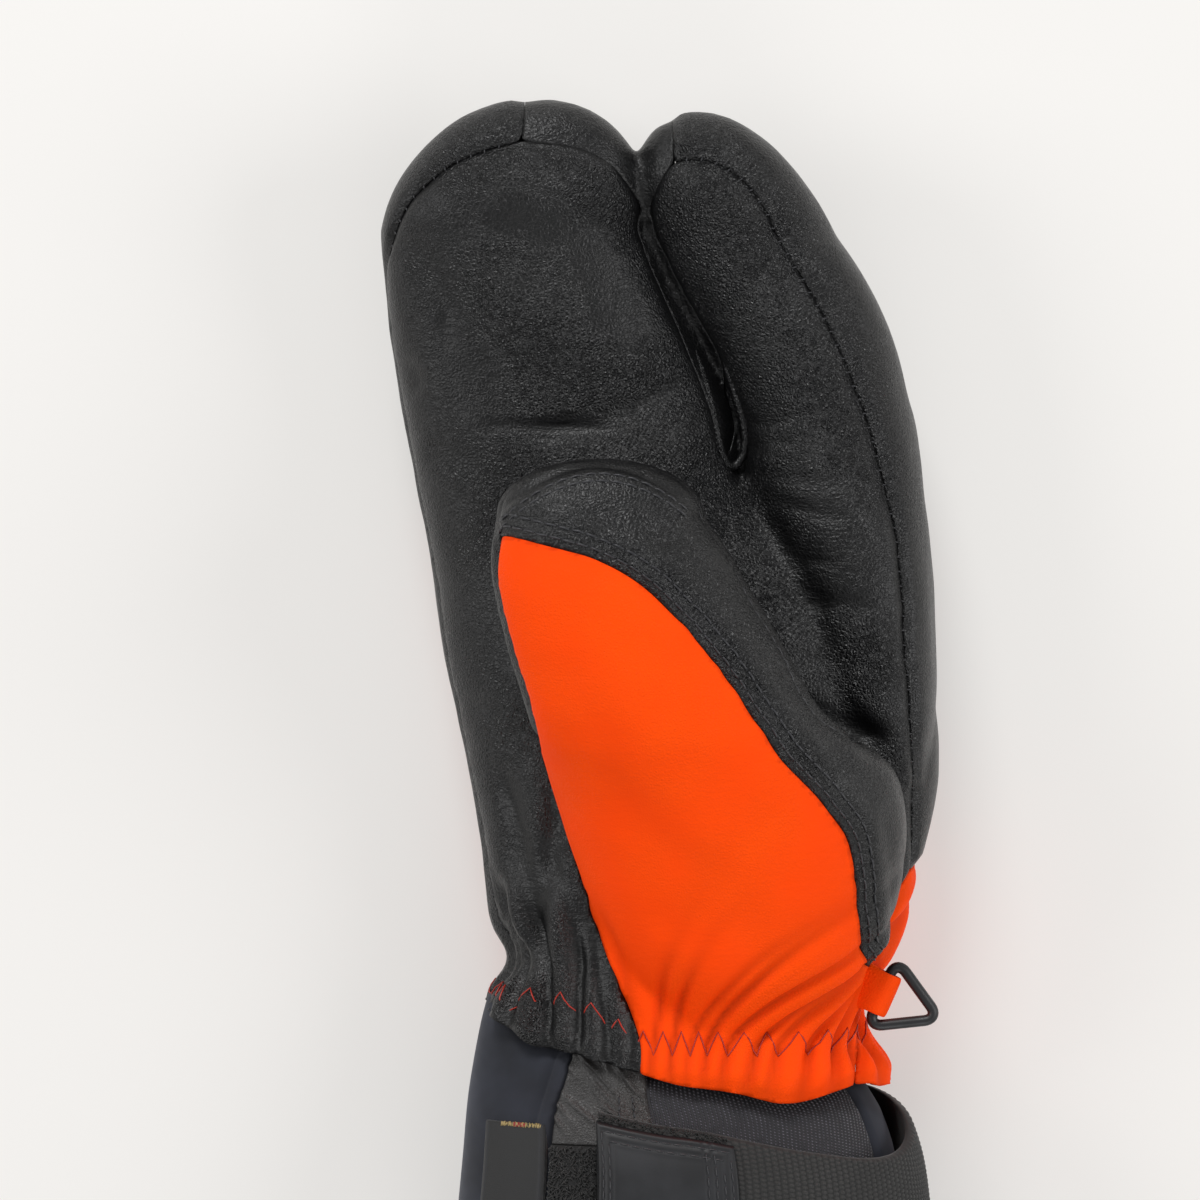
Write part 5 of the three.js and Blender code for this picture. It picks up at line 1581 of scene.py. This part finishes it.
def loop_path():
    """The middle line of the loop's leather, from the mitt round the ring's bar and back, as places
    out from the bar and above it, in millimetres."""
    lower_x = np.linspace(-9, -1.15, 14)
    lower_z = -(0.66 + 1.33 * ramp(lower_x, -6.5, -1.15))
    turn = np.radians(np.linspace(-112, 112, 19))
    x = np.concatenate([lower_x, LOOP_TURN * np.cos(turn), lower_x[::-1]])
    z = np.concatenate([lower_z, LOOP_TURN * np.sin(turn), -lower_z[::-1]])
    return np.column_stack([x, z])


def add_ring_loop(sizes, colours):
    """A strip of orange leather folded round the ring's bar and sewn into the mitt."""
    path = loop_path()
    for _ in range(2):
        path[1:-1] = 0.5 * path[1:-1] + 0.25 * (path[:-2] + path[2:])
    tangent = np.gradient(path, axis=0)
    tangent /= np.linalg.norm(tangent, axis=1, keepdims=True)
    angle = np.linspace(0, 2 * math.pi, LOOP_SIDES, endpoint=False)
    cos, sin = np.cos(angle), np.sin(angle)
    across = sizes.loop_width / (2 * MM) * np.sign(cos) * np.abs(cos) ** 0.35
    thick = LOOP_HALF_WALL * np.sign(sin) * np.abs(sin) ** 0.6
    widened = 1 + 0.1 * ramp(-path[:, :1], 1, 6)
    x = path[:, :1] - tangent[:, 1:] * thick
    y = across * widened
    z = path[:, 1:] + tangent[:, :1] * thick
    turn_cos, turn_sin = math.cos(RING_TURN), math.sin(RING_TURN)
    points = np.dstack([x * turn_cos - y * turn_sin, x * turn_sin + y * turn_cos, z]).reshape(-1, 3)
    points = points * MM + np.array(RING_CENTRE)
    loop = smooth_object("leather_loop", points, ring_faces(len(path), LOOP_SIDES))
    attach_leather_values(loop)
    loop.data.materials.append(orange_leather(colours))
    settle(loop, "mitt", "orange_leather", "ring_loop")


# The camera stands straight above the palm; its view is this wide at the focus height, in metres
SENSOR_WIDTH = 36
FOCUS_DISTANCE = 0.8
FOCUS_HEIGHT = 0.03
VIEW_WIDTH = 0.264
CAMERA_OFFSET = (-0.0132, 0.0946)  # from the middle of the wrist elastic
FLOOR_SIZE = 6
FLOOR_SHADE = 0.56
AIR_LIGHT = 0.28
FLOOR_GLOW = 0.39
# Each light's name, place, width and watts
STUDIO_LIGHTS = (
    ("window_top", (-0.3, 1.3, 1.05), 0.55, 14.5),
    ("window_left", (-1.3, 0.15, 1.0), 0.75, 8),
    ("window_right", (1.3, 0.0, 1.0), 1.0, 11.5),
    ("window_wrist", (0.2, -1.3, 1.0), 1.0, 5.5),
)


def studio_area(name, place, width, power):
    """A round soft light that looks at the mitt."""
    data = bpy.data.lights.new(name, "AREA")
    data.shape = "DISK"
    data.size = width
    data.energy = power
    light = bpy.data.objects.new(name, data)
    light.location = place
    light.rotation_euler = (-Vector(place)).to_track_quat("-Z", "Y").to_euler()
    bpy.context.scene.collection.objects.link(light)


def add_studio(colours):
    """The camera above the palm, the pale floor, and four soft windows in pale air."""
    scene = bpy.context.scene
    camera_data = bpy.data.cameras.new("camera")
    camera_data.sensor_width = SENSOR_WIDTH
    camera_data.lens = SENSOR_WIDTH * FOCUS_DISTANCE / VIEW_WIDTH
    camera = bpy.data.objects.new("camera", camera_data)
    across, along = CAMERA_OFFSET
    camera.location = (WRIST_X + across, WRIST_Y + along, FOCUS_DISTANCE + FOCUS_HEIGHT)
    scene.collection.objects.link(camera)
    scene.camera = camera
    bpy.ops.object.select_all(action="DESELECT")
    bpy.ops.mesh.primitive_plane_add(size=FLOOR_SIZE)
    floor = bpy.context.object
    floor.name = "floor"
    material, tree = new_material("backlit_white_acrylic")
    paper = list(colours.floor)
    floor.data.materials.append(finished(material, tree, {
        "Base Color": shade(paper, FLOOR_SHADE),
        "Roughness": 0.9,
        "Emission Color": paper,
        "Emission Strength": FLOOR_GLOW,
    }))
    for light in STUDIO_LIGHTS:
        studio_area(*light)
    world = bpy.data.worlds.new("studio_air")
    world.use_nodes = True
    background = world.node_tree.nodes["Background"]
    background.inputs["Color"].default_value = (1, 1, 1, 1)
    background.inputs["Strength"].default_value = AIR_LIGHT
    scene.world = world
    scene.view_settings.view_transform = "Standard"


def black_leather(colours):
    """The mitt's black leather, made once."""
    name = "goat_leather_black"
    black = list(colours.black_leather)
    # The third colour is the dark of seam joints and the painted shade of creases
    return bpy.data.materials.get(name) or leather_material(
        name, black, shade(black, 2.0), shade(black, 0.25),
        grain=0.85, roughness=0.3, relief=1.0, shine=0.42)


def orange_leather(colours):
    """The mitt's orange leather, made once. It is finished dull, so it hardly shines."""
    name = "goat_leather_orange"
    orange = list(colours.orange_leather)
    # The third colour is the dark of seam joints and the painted shade of creases
    return bpy.data.materials.get(name) or leather_material(
        name, orange, shade(orange, 1.15), shade(orange, 0.3),
        grain=0.7, roughness=0.62, relief=0.35, shine=0.1)


def seam_thread(colours):
    """The black sewing thread, made once."""
    name = "bonded_nylon_thread_black"
    return bpy.data.materials.get(name) or thread_material(name, list(colours.seam_thread))


def add_leather(sizes, colours):
    """Every leather panel: the dressed skin cut at the panel's seams and at the hem, and given a
    wall."""
    dressed = dressed_skin(sizes.fold_depth)
    skin = dressed.skin
    finishes = {"black_leather": black_leather(colours), "orange_leather": orange_leather(colours)}
    extras = [dressed.hem, dressed.seam, dressed.crease]
    for name, field in dressed.fields.items():
        points, triangles, (hem, *values) = clipped(skin.points, skin.triangles, field - SEAM_CUT, extras)
        points, triangles, (seam, crease) = clipped(points, triangles, hem, values)
        whole, triangles = main_component(np.column_stack([points, seam, crease]), triangles)
        points = smooth_rim(whole[:, :3].copy(), triangles)
        piece = smooth_object(name + "_leather", points, triangles)
        give(piece, "seam", whole[:, 3].copy())
        give(piece, "crease", whole[:, 4].copy())
        finish_modifier(piece, "SOLIDIFY", thickness=sizes.leather_wall, offset=-1)
        piece.data.materials.append(finishes[LEATHER_NODES[name]])
        settle(piece, "mitt", LEATHER_NODES[name], name)


def dropped(tree, places):
    """Places over the palm side, in millimetres from the wrist elastic, dropped on the skin."""
    chain = []
    for x, y in places:
        above = Vector((WRIST_X + x * MM, WRIST_Y + y * MM, 0.2))
        chain.append(np.array(tree.ray_cast(above, Vector((0, 0, -1)))[0]))
    return np.array(chain)


def seam_stitches(dressed):
    """The thread that shows in the palm's seams: short stitches across the groove."""
    parts = []
    for chain in isoline(dressed.skin, dressed.fields["palm_panel"], 0.0):
        if len(chain) < SHORT_CHAIN:
            continue
        line = evened(chain, SEAM_PITCH * MM)
        for place, ahead in zip(line, np.gradient(line, axis=0)):
            _, normal, face, _ = dressed.tree.find_nearest(Vector(place))
            if not dressed.sewn[dressed.skin.triangles[face][0]]:
                continue
            normal = np.array(normal)
            across = np.cross(normal, ahead)
            across /= max(np.linalg.norm(across), 1e-9)
            lean = 0.25 * ahead / max(np.linalg.norm(ahead), 1e-9)
            reach = 0.62 * MM * (across + lean)
            sunk = normal * 0.1 * MM
            path = [place - reach - sunk, place + 2.2 * sunk, place + reach - sunk]
            parts.append(tube_along(path, 0.17 * MM, 5))
    return parts


# The rolled edge of the split between the fingers, seen from above, in millimetres
SPLIT_EDGE = (
    (7.5, 149.5), (9.3, 144), (11.0, 138.2), (12.2, 132.6), (12.9, 125.7), (13.9, 123.7),
    (15.3, 122.8), (17.1, 123.7), (18.7, 125.7), (19.2, 129.7), (18.7, 132.6), (17.6, 136.9),
    (15.6, 141.5), (13.6, 146.9),
)
PIPING_RADIUS = 0.95


def add_piping(sizes, colours):
    """A rolled leather edge round the bottom of the split between the fingers."""
    dressed = dressed_skin(sizes.fold_depth)
    path = evened(dropped(dressed.tree, SPLIT_EDGE), 0.6 * MM, 2)
    level = path[:, 2].copy()
    for _ in range(40):
        level[1:-1] = 0.5 * level[1:-1] + 0.25 * (level[:-2] + level[2:])
    path[:, 2] = np.maximum(level, path[:, 2]) - 0.3 * MM
    share = np.linspace(0, 1, len(path))
    radius = PIPING_RADIUS * MM * np.sqrt(np.clip(np.minimum(share, 1 - share) * 6, 0.05, 1))
    piping = smooth_object("split_piping", *tube_along(path, radius, 14))
    attach_leather_values(piping, 2.5 * MM)
    piping.data.materials.append(black_leather(colours))
    settle(piping, "mitt", "black_leather")


def add_thread(name, parts, material, slot):
    """One piece made of many stitches."""
    points, faces = joined(parts)
    thread = smooth_object(name, points, faces)
    thread.data.materials.append(material)
    settle(thread, "mitt", slot)


def add_seam_threads(sizes, colours):
    """The stitch rows along the thumb cap, over its tip, and in the palm's seams."""
    dressed = dressed_skin(sizes.fold_depth)
    stitch = (sizes.stitch, sizes.stitch_gap, sizes.thread / 2)
    parts = []
    for row in STITCH_ROWS:
        for chain in isoline(dressed.skin, dressed.overlap - row * MM, 0.0):
            if len(chain) > SHORT_CHAIN / 2:
                parts += stitches(chain, dressed.tree, *stitch, 0.1 * MM)
    x0, y0, x1, _, bow = CAP_SEAM
    share = np.linspace(0, 1, 60)
    for inset in CAP_SEAM_ROWS:
        arc = np.column_stack([x0 + (x1 - x0) * share, y0 - inset + bow * (1 - (2 * share - 1) ** 2)])
        parts += stitches(dropped(dressed.tree, arc), dressed.tree, *stitch, 0.02 * MM)
    parts += seam_stitches(dressed)
    add_thread("cap_stitching", parts, seam_thread(colours), "black_leather")


def add_elastic_thread(sizes, colours):
    """The red zigzag that sews the elastic down. On the black leather half of it sinks into the
    gathers and only the points of the zigzag show."""
    dressed = dressed_skin(sizes.fold_depth)
    turns = sorted(turn for turn, _ in gather_turns())
    path = []
    for here, after in zip(turns, turns[1:] + [turns[0] + 2 * math.pi]):
        for share in np.linspace(0, 1, ZIGZAG_POINTS, endpoint=False):
            turn = here + (after - here) * share
            bow = 1 - abs(2 * share - 1)
            over = WRIST_MIDDLE[0] + WRIST_RADIUS * math.cos(turn)
            y = WRIST_Y + (elastic_line(np.array(over)) - ZIGZAG_HEIGHT * (0.5 - bow)) * MM
            direction = Vector((math.cos(turn), 0, math.sin(turn)))
            middle = Vector((WRIST_X + WRIST_MIDDLE[0] * MM, y, WRIST_MIDDLE[1] * MM))
            hit, normal, face, _ = dressed.tree.ray_cast(middle + direction * 0.2, -direction)
            on_black = dressed.orange[dressed.skin.triangles[face][0]] < 0.5
            lift = ZIGZAG_SUNK if on_black and bow < 0.5 else ZIGZAG_LIFT
            path.append(np.array(hit) + np.array(normal) * lift * MM)
    zigzag = smooth_object("elastic_zigzag_thread", *tube_along(path, 0.17 * MM, 6, closed=True))
    zigzag.data.materials.append(thread_material("bonded_nylon_thread_red", list(colours.elastic_thread)))
    settle(zigzag, "mitt", "orange_leather")


# What a user can make


class MakeLeather(bpy.types.Operator):
    """Makes the leather panels of the hand, the fingers and the thumb"""

    bl_idname = "mitt.leather"
    bl_label = "Leather panels"

    def execute(self, context):
        add_leather(context.scene.mitt_sizes, context.scene.mitt_colours)
        return {"FINISHED"}


class MakeThreads(bpy.types.Operator):
    """Makes the threads of the seams, of the thumb cap and of the wrist's elastic"""

    bl_idname = "mitt.threads"
    bl_label = "Threads"

    def execute(self, context):
        add_seam_threads(context.scene.mitt_sizes, context.scene.mitt_colours)
        add_elastic_thread(context.scene.mitt_sizes, context.scene.mitt_colours)
        return {"FINISHED"}


class MakePiping(bpy.types.Operator):
    """Makes the rolled edge at the bottom of the split between the fingers"""

    bl_idname = "mitt.piping"
    bl_label = "Split piping"

    def execute(self, context):
        add_piping(context.scene.mitt_sizes, context.scene.mitt_colours)
        return {"FINISHED"}


class MakeCuff(bpy.types.Operator):
    """Makes the foam wrap, the ribbed gusset and the thin leather placket"""

    bl_idname = "mitt.cuff"
    bl_label = "Cuff"

    def execute(self, context):
        add_cuff(context.scene.mitt_sizes, context.scene.mitt_colours)
        add_placket(context.scene.mitt_colours)
        return {"FINISHED"}


class MakeStrap(bpy.types.Operator):
    """Makes the webbing strap with its coated tab"""

    bl_idname = "mitt.strap"
    bl_label = "Strap and tab"

    def execute(self, context):
        add_strap(context.scene.mitt_sizes, context.scene.mitt_colours)
        return {"FINISHED"}


class MakeLoopPatch(bpy.types.Operator):
    """Makes the patch of hook-and-loop pile"""

    bl_idname = "mitt.loop_patch"
    bl_label = "Loop patch"

    def execute(self, context):
        add_loop_patch(context.scene.mitt_colours)
        return {"FINISHED"}


class MakeLabel(bpy.types.Operator):
    """Makes the bare woven label"""

    bl_idname = "mitt.label"
    bl_label = "Label"

    def execute(self, context):
        add_label(context.scene.mitt_colours)
        return {"FINISHED"}


class MakeRing(bpy.types.Operator):
    """Makes the moulded triangle ring"""

    bl_idname = "mitt.ring"
    bl_label = "Ring"

    def execute(self, context):
        add_ring(context.scene.mitt_sizes, context.scene.mitt_colours)
        return {"FINISHED"}


class MakeRingLoop(bpy.types.Operator):
    """Makes the leather loop that holds the ring"""

    bl_idname = "mitt.ring_loop"
    bl_label = "Ring loop"

    def execute(self, context):
        add_ring_loop(context.scene.mitt_sizes, context.scene.mitt_colours)
        return {"FINISHED"}


class MakeStudio(bpy.types.Operator):
    """Makes the camera, the floor and the soft lights"""

    bl_idname = "mitt.studio"
    bl_label = "Studio"

    def execute(self, context):
        add_studio(context.scene.mitt_colours)
        return {"FINISHED"}


MAKERS = (
    MakeLeather,
    MakeThreads,
    MakePiping,
    MakeCuff,
    MakeStrap,
    MakeLoopPatch,
    MakeLabel,
    MakeRing,
    MakeRingLoop,
    MakeStudio,
)


class MittPanel(bpy.types.Panel):
    """Lists what a user can change and what can be made"""

    bl_idname = "VIEW3D_PT_mitt"
    bl_label = "Three-finger ski mitt"
    bl_space_type = "VIEW_3D"
    bl_region_type = "UI"
    bl_category = "Mitt"

    def draw(self, context):
        for group in (context.scene.mitt_sizes, context.scene.mitt_colours):
            box = self.layout.box()
            for name in group.__annotations__:
                box.prop(group, name)
        for maker in MAKERS:
            self.layout.operator(maker.bl_idname)


CLASSES = (MittSizes, MittColours, *MAKERS, MittPanel)


def register():
    for cls in CLASSES:
        bpy.utils.register_class(cls)
    bpy.types.Scene.mitt_sizes = PointerProperty(type=MittSizes)
    bpy.types.Scene.mitt_colours = PointerProperty(type=MittColours)


def unregister():
    del bpy.types.Scene.mitt_colours
    del bpy.types.Scene.mitt_sizes
    for cls in reversed(CLASSES):
        bpy.utils.unregister_class(cls)


def main():
    """Makes the mitt and its studio."""
    register()
    bpy.ops.mitt.leather()
    bpy.ops.mitt.threads()
    bpy.ops.mitt.piping()
    bpy.ops.mitt.cuff()
    bpy.ops.mitt.strap()
    bpy.ops.mitt.loop_patch()
    bpy.ops.mitt.label()
    bpy.ops.mitt.ring()
    bpy.ops.mitt.ring_loop()
    bpy.ops.mitt.studio()


if __name__ == "__main__":
    main()
